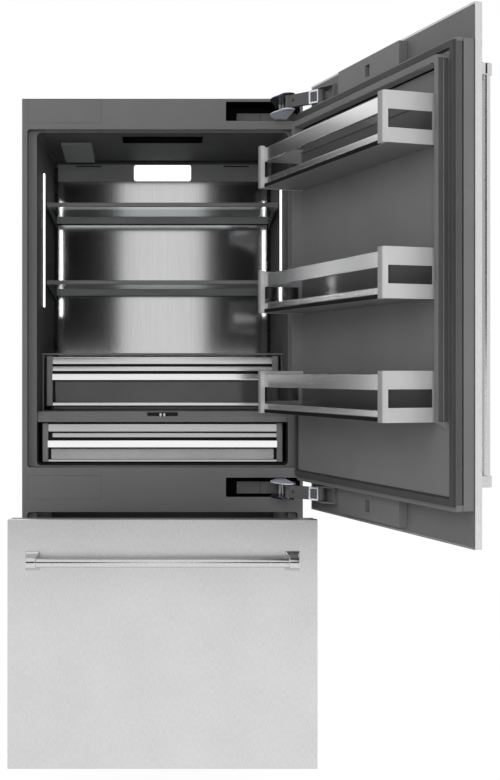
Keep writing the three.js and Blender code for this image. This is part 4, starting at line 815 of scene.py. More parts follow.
def makeLightBar(side, name):
    b = lightBar
    low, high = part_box(name)
    outer = b["half"][1]
    left, right = sideSpan(side, *b["half"])
    bar = addBlock(name + "Light", (left, b["front"], b["bottom"]), (right, b["rear"], high[2] - 0.001))
    bevelEdges(bar, b["round"], 4, lambda m, d: m.y < b["front"] + slack)
    fit(softenEdges(bar, 0.0004, 1), "cabinet", "lamp", "barGlow", name)
    left, right = sideSpan(side, outer, outer + b["base"])
    base = addBlock(name + "Channel", (left, b["front"] + 0.001, low[2]), (right, high[1] - 0.0005, high[2]))
    pressFaces(base, lambda f, n: n.x * side > aligned, 0.004, (-side * 0.0003, 0, 0))
    fit(softenEdges(base, 0.0003, 1), "cabinet", "grey_plastic", "wallPlastic")


# Slatted mouth of the air housing on the ceiling.
housingGrille = {
    "rear": 0.3512,
    "sheet": 0.0012,
    "inset": 0.0063,
    "bottom": 1.9962,
    "top": 2.0092,
    "rim": 0.0012,
    "sink": 0.0005,
}


def makeHousingGrille():
    g = housingGrille
    low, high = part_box("ceiling_air_housing")
    left, right = low[0] + g["inset"], high[0] - g["inset"]
    start = (left, g["rear"] - g["sheet"], g["bottom"])
    grille = addBlock("housingGrille", start, (right, g["rear"], g["top"]))
    sliceAt(grille, "z", (g["bottom"] + g["top"]) / 2)
    pickFaces(grille, lambda c, n: n.y > aligned)
    bpy.ops.mesh.inset(thickness=g["rim"], depth=-g["sink"], use_individual=True)
    leaveEdit()
    fit(softenEdges(grille, 0.0002, 1), "cabinet", "liner", "housingPlastic")


makeHousingGrille()
makeBackSheet()
makeDuctCover()
makeLadders()
makeLightBar(-1, "led_bar_left")
makeLightBar(1, "led_bar_right")
print("compartment fitted")


# Free side of the door: a dark fold of the seal over the box, a black line of painted shade in its seam, the
# rim's side darkened as painted shade, and under the top rim a lighter sheet of painted light above a black
# strip of painted shade.
# Each pair is a span behind the panel's outer face.
sealSide = {
    "boxSide": -0.451,
    "seam": (0.0505, 0.0535),
    "fold": (0.0540, 0.0690),
    "rimSide": (0.0755, 0.1010),
    "rimBead": (0.0870, 0.0895),
    "rimUnder": (0.0800, 0.1015),
    "rimShade": (0.0746, 0.0800),
    "sheet": 0.0008,
    "rimSlope": 0.0041,
    "rimHalf": -0.424,
    "rimLean": 0.0027,  # the rim leans in towards its crest, and so do its coverings
    "rimBottom": 1.102,
    "underHalf": 0.386,
    "underDrop": 0.0235,
}


def makeSideStrip(name, side, part, bottom, top, sheet):
    near, far = sealSide[part]
    strip = addBlock(name, (side - sheet, lift(near), bottom), (side + 0.0001, lift(far), top))
    bevelEdges(strip, 0.0004, 2, lambda m, d: m.x < side - sheet + 0.0001 and abs(d.z) > aligned)
    return softenEdges(strip, 0.0002, 1)


def makeSealSide():
    s = sealSide
    boxLow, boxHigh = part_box("door_gasket")
    low, high = boxLow[2] + 0.004, boxHigh[2] - 0.004
    # a near-black line in the seam stands for the shade in the gap: painted shade
    seam = makeSideStrip("boxSeam", s["boxSide"], "seam", low, high, 0.0005)
    fit(swingDoorOpen(seam), "door", "black_plastic", "paintedShadeBlack")
    fold = makeSideStrip("sealFoldAndRimShade", s["boxSide"], "fold", low, high, s["sheet"])
    fit(swingDoorOpen(fold), "door", "gasket", "sealFoldAndRimShade")

    rimLow, rimTop = s["rimBottom"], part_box("door_liner")[1][2] - 0.004
    side = makeSideStrip("rimSide", s["rimHalf"], "rimSide", rimLow + 0.022, rimTop - 0.014, s["sheet"])
    crest = lift(s["rimSide"][1]) - 0.001
    moveEdges(side, lambda m, d: m.y > crest and abs(d.z) > aligned, (s["rimLean"], 0, 0))
    # the rim's side takes the seal fold's dark finish as painted shade
    fit(swingDoorOpen(side), "door", "liner", "sealFoldAndRimShade")
    bead = makeSideStrip("rimBead", s["rimHalf"] + 0.0006, "rimBead", rimLow + 0.024, rimTop - 0.016, 0.0016)
    fit(swingDoorOpen(bead), "door", "liner", "foldLine")

    # under the top rim: a lighter grey sheet as painted light, and below it a black strip as painted shade
    reach, base = s["underHalf"], rimTop - s["underDrop"]
    near, far = (lift(q) for q in s["rimUnder"])
    under = addBlock("rimUnder", (-reach, near, base - 0.0009), (reach, far, base))
    moveEdges(under, lambda m, d: m.y > far - slack and abs(d.x) > aligned, (0, 0, s["rimSlope"]))
    fit(swingDoorOpen(softenEdges(under, 0.0002, 1)), "door", "liner", "rimUnderPaintedLight")
    # the black strip under the rim stands for the shade in the recess: painted shade
    near, far = (lift(q) for q in s["rimShade"])
    shade = softBlock("rimShade", (-reach, near, base - 0.0030), (reach, far, base - 0.0008), 0.0004, 1)
    fit(swingDoorOpen(shade), "door", "gasket", "paintedShadeBlack")


makeSealSide()
print("door's seal side made")


# Door bins: two metal rails and a smoked pane between end caps, over a dark tray.
doorBin = {
    "left": -0.376,
    "right": 0.399,
    "rear": -0.0659,
    "front": 0.0855,
    "height": 0.126,
    "capWidth": 0.026,
    "capReach": 0.012,  # the caps stand past the rails
    "capCorner": 0.0115,
    "upperBand": 0.045,
    "lowerBand": 0.036,
    "endWall": 0.004,
    "post": 0.015,
    "railDrop": 0.008,
    "upperRail": 0.040,
    "lowerRail": 0.017,
    "railSheet": 0.005,
    "sill": 0.012,
    "lip": (0.003, 0.006),  # reach and height of the rear wall's turned edge
}


def makeBinCap(name, outside, inward, bottom):
    b = doorBin
    top = bottom + b["height"]
    rail = b["front"] - b["capReach"]
    left, right = sorted((outside, outside + inward * b["capWidth"]))
    cap = addBlock(name, (left, rail - 0.002, bottom), (right, b["front"], top))

    def outerCorner(m, d):
        return abs(d.z) > aligned and m.y > b["front"] - slack and abs(m.x - outside) < slack

    bevelEdges(cap, b["capCorner"], 8, outerCorner)
    sliceAt(cap, "x", outside + inward * b["endWall"])
    reach = (0, b["rear"] - rail + 0.002, 0)
    extrudeFaces(cap, lambda c, n: n.y < -aligned and abs(c.x - outside) < b["endWall"], reach)

    # Window through the end wall.
    lower, upper = bottom + b["lowerBand"], top - b["upperBand"]
    rearEdge, frontEdge = b["rear"] + b["post"], rail - 0.003
    sliceAt(cap, "z", lower, upper)
    sliceAt(cap, "y", rearEdge, frontEdge)
    pickFaces(cap, lambda c, n: abs(n.x) > aligned and lower < c.z < upper and rearEdge < c.y < frontEdge)
    bpy.ops.mesh.bridge_edge_loops()
    leaveEdit()
    return softenEdges(cap, 0.0012, 2)


def makeDoorBin(label, bottom):
    b = doorBin
    top = bottom + b["height"]
    left, right = b["left"] + b["endWall"], b["right"] - b["endWall"]
    rear, rail = b["rear"], b["front"] - b["capReach"]
    body = label + "_bin"

    freeCap = makeBinCap(label + "BinFreeCap", b["left"], 1, bottom)
    hingeCap = makeBinCap(label + "BinHingeCap", b["right"], -1, bottom)
    caps = swingDoorOpen(joinPieces(label + "BinCaps", [freeCap, hingeCap]))
    fit(caps, body, "trim", "capGrey", label + "_door_bin")
    # painted shade: the caps' fronts get a darker copy of their grey
    caps.data.materials.append(finishes["capPaintedShade"])
    pickFaces(caps, lambda c, n: n.x < -0.6)  # their fronts, which the open door turns to the left
    caps.active_material_index = 1
    bpy.ops.object.material_slot_assign()
    leaveEdit()

    railTop = top - b["railDrop"]
    sill = bottom + b["sill"]
    rails = []
    for low, high in ((railTop - b["upperRail"], railTop), (sill, sill + b["lowerRail"])):
        bar = addBlock(label + "BinRail", (left, rail - b["railSheet"], low), (right, rail, high))
        pressFaces(bar, lambda c, n: n.y < -aligned, 0.0015, (0, 0.003, 0))
        bevelEdges(bar, 0.0018, 3, lambda m, d: m.y > rail - slack and abs(d.x) > aligned)
        rails.append(softenEdges(bar, 0.0003, 1))
    fit(swingDoorOpen(joinPieces(label + "BinRails", rails)), body, "trim", "binAluminium")

    # Tray with a rear wall, under and behind the rails.
    low, high = (left, rear + 0.001, bottom + 0.001), (right, rail - 0.0015, sill + 0.001)
    tray = addBlock(label + "BinTray", low, high)
    pressFaces(tray, lambda c, n: n.z > aligned, 0.005, (0, 0, -0.007))
    softenEdges(tray, 0.001)
    lipReach, lipHeight = b["lip"]
    wall = addBlock(label + "BinWall", (left, rear + 0.001, sill), (right, rear + 0.004, railTop))
    sliceAt(wall, "z", railTop - lipHeight)
    extrudeFaces(wall, lambda c, n: n.y > aligned and c.z > railTop - lipHeight, (0, lipReach, 0))
    fit(swingDoorOpen(softenEdges(wall)), body, "grey_plastic", "doorLining")
    fit(swingDoorOpen(tray), body, "grey_plastic", "trayGrey")
    low, high = (left, rail - 0.0014, bottom + 0.0015), (right, rail - 0.0002, sill - 0.0005)
    strip = softBlock(label + "BinStrip", low, high, 0.0003, 1)
    fit(swingDoorOpen(strip), body, "black_plastic", "binTray")

    front = rail - b["railSheet"]
    low, high = (left, front - 0.003, sill + 0.004), (right, front - 0.0002, railTop - 0.004)
    panes = [softBlock(label + "BinPane", low, high, 0.0006)]
    window = bottom + b["lowerBand"] - 0.0005, top - b["upperBand"] + 0.0005
    for side, x in ((-1, b["left"]), (1, b["right"])):
        near, far = sorted((x - side * 0.0012, x - side * 0.0032))
        low, high = (near, rear + b["post"] - 0.0005, window[0]), (far, rail - 0.0035, window[1])
        panes.append(softBlock(label + "BinEndPane", low, high, 0.0004))
    fit(swingDoorOpen(joinPieces(label + "BinPanes", panes)), body, "smoked", "smokedPane")


for label in ("upper", "middle", "lower"):
    makeDoorBin(label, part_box(label + "_door_bin")[0][2])
print("door bins made")


# Crisper fronts: two rails, a pull and a pane between end stiles; heights are measured from the top.
crisperFronts = {
    "upper": {
        "rail": (0.0030, 0.0280),
        "second": (0.0355, 0.0505),
        "pull": (0.0600, 0.0830),
        "pane": (0.0850, 0.1560),
        "foot": (0.1560, 0.1665),
        "reach": 0.3872,
        "stile": 0.0200,
        "secondInset": 0.0,
        "notch": 0.0085,
        "paneFinish": "smokedFront",
        "railFinish": "railAluminium",
        "pullFinish": "pullAluminium",
        "lean": -0.0006,  # of the pull's face, towards the light above
    },
    "lower": {
        "rail": (0.0010, 0.0300),
        "second": (0.0325, 0.0475),
        "pull": (0.0565, 0.0820),
        "pane": (0.0845, 0.1185),
        "foot": (0.1190, 0.1265),
        "reach": 0.3915,
        "stile": 0.0190,
        "secondInset": 0.014,
        "notch": 0.0095,
        "paneFinish": "greyFront",
        "railFinish": "lowRail",
        "pullFinish": "lowPull",
        "lean": 0.0008,
    },
}


def makeCrisperFront(label, shape):
    low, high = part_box(label + "_crisper_front")
    half, bottom, top = high[0], low[2], high[2]
    face = low[1] + 0.010
    body = label + "_crisper"
    inner = shape["reach"] - shape["stile"]

    # Crowned rails, so that each one shades from its top to its foot.
    rails = []
    for key, setBack, inset in (
        ("rail", 0.0, 0.0003),
        ("second", 0.002, shape["secondInset"]),
        ("foot", 0.001, 0.0003),
    ):
        upper, lower = shape[key]
        start = (-inner + inset, face + setBack, top - lower)
        rail = addBlock(label + "Rail", start, (inner - 0.0003, face + 0.0130, top - upper))
        bevelEdges(rail, (lower - upper) * 0.12, 3, lambda m, d: m.y < face + 0.003 and abs(d.x) > aligned)
        rails.append(softenEdges(rail, 0.0003, 1))
    rails = joinPieces(label + "CrisperRails", rails)
    fit(rails, body, "trim", shape["railFinish"], label + "_crisper_front")

    pullTop, pullBottom = (top - drop for drop in shape["pull"])
    start = (-inner - 0.001, face - 0.0095, pullBottom)
    pull = addBlock(label + "Pull", start, (inner + 0.001, face + 0.0120, pullTop))

    def frontEdge(m, d):
        return m.y < face and abs(d.x) > aligned

    moveEdges(pull, lambda m, d: frontEdge(m, d) and m.z > pullTop - slack, (0, shape["lean"], 0))
    bevelEdges(pull, 0.0045, 5, lambda m, d: frontEdge(m, d) and m.z < pullBottom + slack)
    fit(softenEdges(pull), body, "trim", shape["pullFinish"])

    start = (-half + 0.001, face + 0.0132, bottom + 0.001)
    back = addBlock(label + "CrisperBack", start, (half - 0.001, face + 0.0215, top - 0.001))
    pressFaces(back, lambda c, n: n.y > aligned, 0.006, (0, -0.002, 0))
    fit(softenEdges(back, 0.001), body, "black_plastic", "blackPlastic")

    stiles = []
    for side in (-1, 1):
        left, right = sideSpan(side, inner, shape["reach"])
        start = (left, face - 0.0005, top - shape["foot"][1])
        end = addBlock(label + "Stile", start, (right, face + 0.0130, top - 0.001))
        bevelEdges(end, 0.0025, 3, lambda m, d: m.y < face and abs(d.z) > aligned)
        stiles.append(softenEdges(end, 0.0005, 1))
    fit(joinPieces(label + "CrisperStiles", stiles), body, "grey_plastic", "stileGrey")

    paneTop, paneBottom = shape["pane"]
    edge = inner - shape["notch"]
    start = (-edge, face + 0.006, top - paneBottom + 0.0005)
    pane = addBlock(label + "Pane", start, (edge, face + 0.0128, top - paneTop - 0.0005))
    pressFaces(pane, lambda c, n: n.y < -aligned, 0.003, (0, 0.0012, 0))
    fit(softenEdges(pane, 0.0006), body, "smoked", shape["paneFinish"])


for label, shape in crisperFronts.items():
    makeCrisperFront(label, shape)
print("crisper fronts made")


# Deck between the crispers: a plate with a slanted nose and a slot for the slider.
deckShape = {
    "noseDepth": 0.030,
    "slant": 0.010,
    "slantHeight": 0.017,
    "slotHalf": 0.050,
    "slotDepth": 0.008,
    "plate": 0.012,
    "cleat": (0.0052, 0.0002),  # from the cover glass's side
    "cleatFront": 0.120,
    "rearInset": 0.0055,
}


def makeDeck():
    d = deckShape
    low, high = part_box("drawer_deck")
    coverLow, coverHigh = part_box("upper_drawer_cover_glass")
    half, bottom, front, rear = high[0], low[2], low[1], high[1]
    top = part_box("upper_crisper_bin")[0][2] - 0.0003
    slantFoot = top - d["slantHeight"]
    slotBottom, slotTop = slantFoot + 0.001, top - 0.0035

    def upperEdge(m, way):
        return m.z > top - slack and abs(way.x) > aligned

    nose = addBlock("deckNose", (-half, front, bottom), (half, front + d["noseDepth"], top))
    sliceAt(nose, "z", slantFoot)
    moveEdges(nose, lambda m, way: upperEdge(m, way) and m.y < front + slack, (0, d["slant"], 0))
    sliceAt(nose, "z", slotBottom, slotTop)
    sliceAt(nose, "x", -d["slotHalf"], d["slotHalf"])

    def inSlot(c, n):
        return n.y < -0.5 and abs(c.x) < 0.04 and slotBottom < c.z < slotTop

    extrudeFaces(nose, inSlot, (0, d["slotDepth"], 0))
    ridge = front + d["slant"]
    bevelEdges(nose, 0.0025, 3, lambda m, way: upperEdge(m, way) and abs(m.y - ridge) < slack and m.y < ridge)
    softenEdges(nose, 0.0006, 2, 30)

    start = (-half + 0.001, front + d["noseDepth"] - 0.001, top - d["plate"])
    plate = addBlock("deckPlate", start, (half - 0.001, rear, top))
    rearHalf = coverHigh[0] - d["rearInset"]
    narrowFaces(plate, lambda c, n: n.y > aligned, (rearHalf / half, 1, 1), (0, rear, top))
    pressFaces(plate, lambda c, n: n.z > aligned, 0.020, (0, 0, -0.001))
    softenEdges(plate, 0.001)
    cleats = []
    for side in (-1, 1):
        left, right = sideSpan(side, *(coverHigh[0] - inset for inset in d["cleat"]))
        start = (left, d["cleatFront"], top - 0.001)
        cleat = addBlock("deckCleat", start, (right, rear, coverLow[2] - 0.0003))
        pickFaces(cleat, lambda c, n: n.y > aligned)
        bpy.ops.transform.translate(value=(side * (rearHalf - coverHigh[0]), 0, 0))
        leaveEdit()
        cleats.append(softenEdges(cleat, 0.001))
    return joinPieces("drawerDeck", [nose, plate] + cleats)


# Humidity slider: two knobs on a base, in front of the slot's black back.
sliderShape = {"knobs": (-0.006, 0.006), "knobHalf": 0.0035}


def makeSlider():
    low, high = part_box("humidity_slider")
    half = deckShape["slotHalf"] - 0.001
    start = (-half, high[1] + 0.0002, low[2] + 0.0015)
    slotBack = softBlock("sliderSlot", start, (half, high[1] + 0.0010, high[2] - 0.0015), 0.0003)
    fit(slotBack, "cabinet", "black_plastic", "blackPlastic")
    reach = sliderShape["knobHalf"]
    knobs = []
    for x in sliderShape["knobs"]:
        start = (x - reach, low[1] + 0.002, low[2] + 0.002)
        knob = addBlock("sliderKnob", start, (x + reach, high[1] - 0.001, high[2] - 0.002))
        bevelEdges(knob, 0.002, 3, lambda m, d: m.y < low[1] + 0.003)
        knobs.append(softenEdges(knob, 0.0004, 1))
    start = (low[0], high[1] - 0.003, low[2] + 0.0005)
    base = softBlock("sliderBase", start, (high[0], high[1] - 0.0004, high[2] - 0.0005))
    fit(joinPieces("humiditySlider", knobs), "slider", "grey_plastic", "sliderGrey", "humidity_slider")
    fit(base, "slider", "black_plastic", "blackPlastic")


fit(makeDeck(), "cabinet", "liner", "deckPlastic", "drawer_deck")
makeSlider()
print("deck made")


# Painted shade: a black sheet lining the gap round the lower crisper, where shade falls.
gapShade = {
    "half": 0.4052,
    "thickness": 0.003,
    "front": -0.018,
    "rear": 0.060,
    "corner": 0.016,
    "drop": 0.0025,  # under the crisper's front
}


def makeGapShade():
    s = gapShade
    foot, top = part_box("lower_crisper_front")[0][2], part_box("drawer_deck")[0][2] - 0.0003
    start = (-s["half"], s["front"], foot - s["drop"])
    opening = addBlock("crisperGapShade", start, (s["half"], s["rear"], top))
    cutFaces(opening, lambda c, n: abs(n.y) > aligned or n.z > aligned)
    bevelEdges(opening, s["corner"], 5, lambda m, d: abs(d.y) > aligned and m.z < foot)
    thickenSheet(opening, s["thickness"])
    fit(softenEdges(opening, 0.0006), "cabinet", "black_plastic", "blackPlastic")


makeGapShade()
print("surround made")


# Glass shelves: a nosed front trim, a rear rail and two cantilever brackets each.
shelfShape = {
    "trimHeight": 0.013,
    "trimDepth": 0.013,
    "bracketDrop": 0.046,
    "bracketTip": 0.014,
    "bracket": 0.003,
    "pane": 0.005,
    "railDrop": 0.031,
    "hooks": (0.012, 0.040),
    "hookHeight": 0.006,
}


def makeShelf(label):
    s = shelfShape
    low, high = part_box(label + "_shelf_frame")
    paneLow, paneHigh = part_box(label + "_shelf_glass")
    half, front, rear, top = high[0], low[1], high[1], paneHigh[2]
    armStart, underPane = front + s["trimDepth"], top - s["pane"]
    body = label + "_shelf"
    trim = addBlock(label + "Trim", (-half, front, top - s["trimHeight"]), (half, armStart, top + 0.0008))
    pressFaces(trim, lambda c, n: n.y > aligned, 0.0035, (0, -0.007, 0))
    bevelEdges(trim, 0.0035, 4, lambda m, d: m.y < front + slack and abs(d.x) > aligned)
    fit(softenEdges(trim, 0.0004, 1), body, "trim", "shelfTrim", label + "_shelf_frame")
    start = (-half + 0.004, rear - 0.018, top - s["railDrop"])
    rail = addBlock(label + "RearRail", start, (half - 0.004, rear - 0.0065, underPane - 0.0005))
    pressFaces(rail, lambda c, n: n.z < -aligned, 0.002, (0, 0, 0.004))
    fit(softenEdges(rail, 0.001), body, "grey_plastic", "stileGrey")

    def frontFoot(m, d):
        return abs(d.x) > aligned and m.z < top - 0.03 and m.y < front + 0.03

    brackets = []
    for side in (-1, 1):
        left, right = sideSpan(side, half, half - s["bracket"])
        start = (left, armStart, top - s["bracketDrop"])
        arm = addBlock(label + "Bracket", start, (right, rear - 0.006, underPane - 0.0004))
        moveEdges(arm, frontFoot, (0, 0, s["bracketDrop"] - s["bracketTip"]))
        brackets.append(softenEdges(arm, 0.0007))
        for drop in s["hooks"]:
            start = (left, rear - 0.0075, top - drop - s["hookHeight"])
            brackets.append(softBlock(label + "Hook", start, (right, rear - 0.0005, top - drop), 0.0006))
    fit(joinPieces(label + "ShelfBrackets", brackets), body, "black_steel", "bracketPaint")
    pane = softBlock(label + "Pane", paneLow, paneHigh, 0.0009)
    fit(pane, body, "glass", "shelfGlass", label + "_shelf_glass")


# Glass cover of the upper crisper, narrower at the rear, with a trim on its front edge.
coverShape = {"rearHalf": 0.3975, "paneInset": 0.004, "trim": (0.006, 0.0035)}


def makeCover():
    low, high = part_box("upper_drawer_cover_glass")
    pane = addBlock("coverPane", (low[0], low[1] + coverShape["paneInset"], low[2]), high)
    share = coverShape["rearHalf"] / high[0]
    narrowFaces(pane, lambda c, n: n.y > aligned, (share, 1, 1), (0, high[1], high[2]))
    fit(softenEdges(pane, 0.0009), "cabinet", "glass", "shelfGlass", "upper_drawer_cover_glass")
    ahead, behind = coverShape["trim"]
    start = (-high[0], low[1] - ahead, low[2] - 0.0005)
    trim = addBlock("coverTrim", start, (high[0], low[1] + behind, high[2] + 0.0012))
    bevelEdges(trim, 0.0025, 3, lambda m, d: m.y < low[1] and abs(d.x) > aligned)
    fit(softenEdges(trim, 0.0004, 1), "cabinet", "trim", "shelfTrim")


for label in ("upper", "middle"):
    makeShelf(label)
makeCover()
print("shelves made")


# Hinges: a pocket lined near-black as painted shade, with its plate, a pair of leaves, and a bar that ends in
# the door's bracket.
hinge = {
    "heights": {"upper": 2.079, "lower": 0.875},
    "anchor": (0.380, -0.052),
    "elbow": (0.3906, -0.1903),
    "doorPivot": (0.4812, -0.2702),
    "leafHalf": 0.018,
    "leafBulge": 0.028,
    "leafEdge": (0.0212, 0.0258),  # a leaf's two faces, from the hinge's middle
    "hubRadius": 0.0105,
    "hubSides": 40,
    "hubGroove": (0.0012, 0.86),  # half height, and the share of the radius that is left
    "bossRadius": 0.0128,
    "eyeRadius": 0.0125,
    "anchorPin": (0.0042, 0.0268),  # radius and half length
    "elbowPin": (0.0046, 0.0258),
    "barHalf": 0.008,
    "barHeight": 0.0192,
    "barNotch": (-0.024, -0.016, 0.003, 0.007),  # from, to, half height, depth
    "saddle": (0.006, 0.040, 0.0203),  # from, to, half height
    "saddlePlate": (0.0112, 0.0348, 0.0150),
    "plate": (0.243, 0.437, 0.0230, 0.0292),
    "plateDrop": 0.0285,
    "plateRise": 0.0110,
    "plateSeam": (0.3185, 0.3205),
    "lug": (0.0270, 0.0292),
    "lugHalf": 0.015,
    "pocket": (0.2035, 0.4405, -0.056, 0.0297),
    "pocketHalf": 0.0302,
}


def placeLink(piece, start, end, name):
    # turns a piece made along -y, so that it lies from start to end
    piece.rotation_euler = (0, 0, math.atan2(end[0] - start[0], start[1] - end[1]))
    piece.location = (start[0], start[1], 0)
    return settle(piece, name)


def makeLeafPlate(name, low, high, length):
    half, bulge = hinge["leafHalf"], hinge["leafBulge"]
    plate = addBlock(name, (-half, -length - half, low), (half, half, high))
    steps = 8
    stations = [-length * k / steps for k in range(1, steps)]
    sliceAt(plate, "y", *stations)
    for k, y in enumerate(stations):
        out = -bulge * math.sin(math.pi * (k + 1) / steps)

        def atStation(m, d):
            return abs(d.z) > aligned and m.x < -half + slack and abs(m.y - y) < slack

        moveEdges(plate, atStation, (out, 0, 0))

    def endCorner(m, d):
        return abs(d.z) > aligned and (m.y > half - slack or m.y < -length - half + slack)

    bevelEdges(plate, half * 0.85, 6, endCorner)
    return softenEdges(plate, 0.0012, 2)


def makeHub(name, place, radius, low, high):
    hub = addRod(name, (*place, low), (*place, high), radius, hinge["hubSides"])
    groove, waist = hinge["hubGroove"]
    for share in (0.33, 0.66):
        z = low + (high - low) * share
        sliceAt(hub, "z", z - groove, z + groove)
        narrowFaces(hub, lambda c, n: abs(n.z) < 0.1 and abs(c.z - z) < slack, (waist, waist, 1), (*place, z))
    return softenEdges(hub)


def makePocketPlate(label, z):
    h = hinge
    anchor = h["anchor"]
    left, right, front, back = h["pocket"]
    low, high = z - h["pocketHalf"], z + h["pocketHalf"]
    # the near-black lining stands for the shade inside the pocket: painted shade
    lining = addBlock(label + "Pocket", (left, front, low), (right, back, high))
    cutFaces(lining, lambda c, n: n.y < -aligned)
    thickenSheet(lining, 0.0008)
    fit(softenEdges(lining, 0.0002, 1), "cabinet", "black_plastic", "paintedShadeBlack")

    # Plate with a lug above and below the pin.
    left, right, front, back = h["plate"]
    start = (left, front, z - h["plateDrop"])
    plate = addBlock(label + "Plate", start, (right, back - 0.0009, z + h["plateRise"]))
    near, far = h["plateSeam"]
    sliceAt(plate, "x", near, far)
    pressFaces(plate, lambda c, n: n.y < -aligned and near < c.x < far, 0.0001, (0, 0.003, 0))
    plates = [softenEdges(plate)]
    for side in (-1, 1):
        low, high = sorted(z + side * reach for reach in h["lug"])
        start = (anchor[0] - h["lugHalf"], anchor[1] - 0.009, low)
        lug = addBlock(label + "Lug", start, (anchor[0] + h["lugHalf"], back - 0.001, high))
        bevelEdges(lug, 0.008, 4, lambda m, d: abs(d.z) > aligned and m.y < anchor[1])
        plates.append(softenEdges(lug, 0.0006))
    fit(joinPieces(label + "HingePlate", plates), "cabinet", "hinge", "framePaint", label + "_hinge_plate")
    radius, half = h["anchorPin"]
    fit(makeHub(label + "AnchorPin", anchor, radius, z - half, z + half), "cabinet", "hinge", "hingeZinc")


def makeLeafPair(label, z):
    # a pale leaf and a dark navy one, on one hub; the leaf that the other one shades gets the dark navy copy
    # as painted shade
    anchor, elbow = hinge["anchor"], hinge["elbow"]
    inner, outer = hinge["leafEdge"]
    length = math.dist(anchor, elbow)
    lowLeaf = makeLeafPlate(label + "LowLeaf", z - outer, z - inner, length)
    highLeaf = makeLeafPlate(label + "HighLeaf", z + inner, z + outer, length)
    placeLink(lowLeaf, anchor, elbow, label + "LowLeaf")
    placeLink(highLeaf, anchor, elbow, label + "HighLeaf")
    hub = makeHub(label + "Hub", anchor, hinge["hubRadius"], z - inner, z + inner)
    body = label + "_leaf"
    shadedLeaf, paleLeaf = (highLeaf, lowLeaf) if label == "upper" else (lowLeaf, highLeaf)
    fit(shadedLeaf, body, "hinge", "hingeNavyPaintedShade")
    fit(paleLeaf, body, "hinge", "leafPaint", label + "_hinge_leaf")
    fit(hub, body, "hinge", "darkZinc")


def makeBar(label, z):
    # a bar with an eye at each end, and a framed saddle near the door
    h = hinge
    elbow, pivot = h["elbow"], h["doorPivot"]
    reach = math.dist(elbow, pivot)
    half, height = h["barHalf"], h["barHeight"]
    near, far, rise, depth = h["barNotch"]
    bar = addBlock(label + "Bar", (-half, -reach, z - height), (half, 0, z + height))
    sliceAt(bar, "y", near, far)
    sliceAt(bar, "z", z - rise, z + rise)
    extrudeFaces(bar, lambda c, n: n.x < -aligned and near < c.y < far and abs(c.z - z) < rise, (depth, 0, 0))
    softenEdges(bar, 0.0015, 2)
    placeLink(bar, elbow, pivot, label + "Bar")
    boss = makeHub(label + "Boss", elbow, h["bossRadius"], z - height, z + height)
    eye = makeHub(label + "Eye", pivot, h["eyeRadius"], z - height, z + height)
    body = label + "_bar"
    fit(joinPieces(label + "HingeBar", [bar, eye]), body, "hinge", "barPaint", label + "_hinge_bar")
    radius, pinHalf = h["elbowPin"]
    elbowPin = makeHub(label + "ElbowPin", elbow, radius, z - pinHalf, z + pinHalf)
    fit(boss, body, "hinge", "barPaint")
    fit(elbowPin, body, "hinge", "hingeZinc")

    near, far, rise = h["saddle"]
    start = (-half - 0.0022, -reach + near, z - rise)
    saddle = addBlock(label + "Saddle", start, (-half + 0.001, -reach + far, z + rise))
    pressFaces(saddle, lambda c, n: n.x < -aligned, 0.0045, (0.0014, 0, 0))
    softenEdges(saddle, 0.0005)
    fit(placeLink(saddle, elbow, pivot, label + "Saddle"), body, "hinge", "hingeZinc")
    near, far, rise = h["saddlePlate"]
    start = (-half - 0.0016, -reach + near, z - rise)
    plate = softBlock(label + "SaddlePlate", start, (-half - 0.0006, -reach + far, z + rise), 0.0004)
    fit(placeLink(plate, elbow, pivot, label + "SaddlePlate"), body, "hinge", "barPaint")


for label, z in hinge["heights"].items():
    makePocketPlate(label, z)
    makeLeafPair(label, z)
    makeBar(label, z)
print("hinges made")


# Floor, white room, lamps and cards.
room = {"ambient": 0.45, "backdrop": 1, "floorGrey": (0.8, 0.8, 0.8, 1), "floorGlow": 1.1, "floorShare": 0.88}


def whiteRays(tree, share):
    # camera, glossy and transmission rays see a white room
    rays = tree.nodes.new("ShaderNodeLightPath").outputs
    seen = addMath(tree, "MAXIMUM", rays["Is Camera Ray"], rays["Is Glossy Ray"])
    seen = addMath(tree, "MAXIMUM", seen, rays["Is Transmission Ray"])
    return addMath(tree, "MULTIPLY", seen, share)


def blendForRays(tree, share, plain, white, target):
    # white light for the rays above, the plain shader for all others
    blend = tree.nodes.new("ShaderNodeMixShader")
    tree.links.new(whiteRays(tree, share), blend.inputs["Fac"])
    tree.links.new(plain.outputs[0], blend.inputs[1])
    tree.links.new(white.outputs[0], blend.inputs[2])
    tree.links.new(blend.outputs[0], target.inputs["Surface"])


def makeFloorMaterial():
    material = bpy.data.materials.new("paleFloor")
    material.use_nodes = True
    tree = material.node_tree
    tree.nodes.clear()
    matt = tree.nodes.new("ShaderNodeBsdfDiffuse")
    matt.inputs["Color"].default_value = room["floorGrey"]
    white = tree.nodes.new("ShaderNodeEmission")
    white.inputs["Strength"].default_value = room["floorGlow"]
    output = tree.nodes.new("ShaderNodeOutputMaterial")
    blendForRays(tree, room["floorShare"], matt, white, output)
    return material


def makeWorld():
    world = bpy.context.scene.world or bpy.data.worlds.new("studio")
    bpy.context.scene.world = world
    world.use_nodes = True
    tree = world.node_tree
    tree.nodes.clear()
    shades = []
    for key in ("ambient", "backdrop"):
        shade = tree.nodes.new("ShaderNodeBackground")
        shade.inputs["Color"].default_value = (1, 1, 1, 1)
        shade.inputs["Strength"].default_value = room[key]
        shades.append(shade)
    blendForRays(tree, 1, *shades, tree.nodes.new("ShaderNodeOutputWorld"))


dropPick()
bpy.ops.mesh.primitive_plane_add(size=30, location=(0, 0, -0.001))
floor = bpy.context.object
floor.name = "floor"
floor.data.materials.append(makeFloorMaterial())
makeWorld()

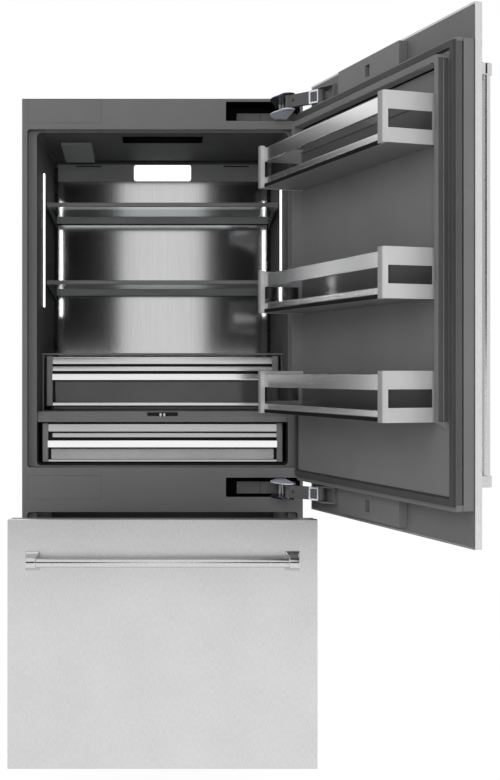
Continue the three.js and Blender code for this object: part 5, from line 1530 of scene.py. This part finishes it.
lamps = {
    "keySoftbox": {"place": (-2.2, -3.4, 3.2), "aim": (0.1, 0, 1.2), "size": (2.2, 2.2), "power": 45},
    "frontSoftbox": {"place": (0.0, -5.2, 1.7), "aim": (0.0, 0, 1.4), "size": (1.3, 2.6), "power": 80},
    "sideSoftbox": {"place": (3.2, -2.2, 1.8), "aim": (0.3, 0, 1.2), "size": (1.4, 2.4), "power": 30},
    "ceilingLamp": {"place": (0, 0.40, 1.97), "aim": (0, 0.1, 1.2), "size": (0.2, 0.05), "power": 1},
    "freezerLamp": {
        "place": (0.05, 0.06, 0.79),
        "aim": (0.05, 0.4, 0.68),
        "size": (0.5, 0.03),
        "power": 0.35,
    },
}
for name, lamp in lamps.items():
    dropPick()
    aim = Vector(lamp["aim"]) - Vector(lamp["place"])
    turn = aim.to_track_quat("-Z", "Y").to_euler()
    bpy.ops.object.light_add(type="AREA", location=lamp["place"], rotation=turn)
    light = bpy.context.object
    light.name = name
    light.data.shape = "RECTANGLE"
    light.data.size, light.data.size_y = lamp["size"]
    light.data.energy = lamp["power"]
    light.visible_glossy = False  # metal shows the pale room instead of the boxes
    light.visible_transmission = False
    light.visible_camera = False

# Black cards behind the camera, seen only in reflections, leave a bright gap for the back panel.
cards = {"gap": 0.36, "width": 2.5, "bottom": 1.36, "top": 4.2, "behind": -5.2, "sheet": 0.01}
cardMaterial = bpy.data.materials.new("blackCard")
cardMaterial.use_nodes = True
cardShader = cardMaterial.node_tree.nodes["Principled BSDF"]
cardShader.inputs["Base Color"].default_value = (0.01, 0.01, 0.01, 1)
cardShader.inputs["Roughness"].default_value = 1
cardShader.inputs["Specular IOR Level"].default_value = 0
for side in (-1, 1):
    left, right = sideSpan(side, cards["gap"], cards["gap"] + cards["width"])
    start = (left, cards["behind"] - cards["sheet"], cards["bottom"])
    card = softBlock("blackCard", start, (right, cards["behind"], cards["top"]), 0.002)
    card.data.materials.append(cardMaterial)
    card.visible_camera = False
    card.visible_diffuse = False
    card.visible_transmission = False
    card.visible_shadow = False
print("stage lit")
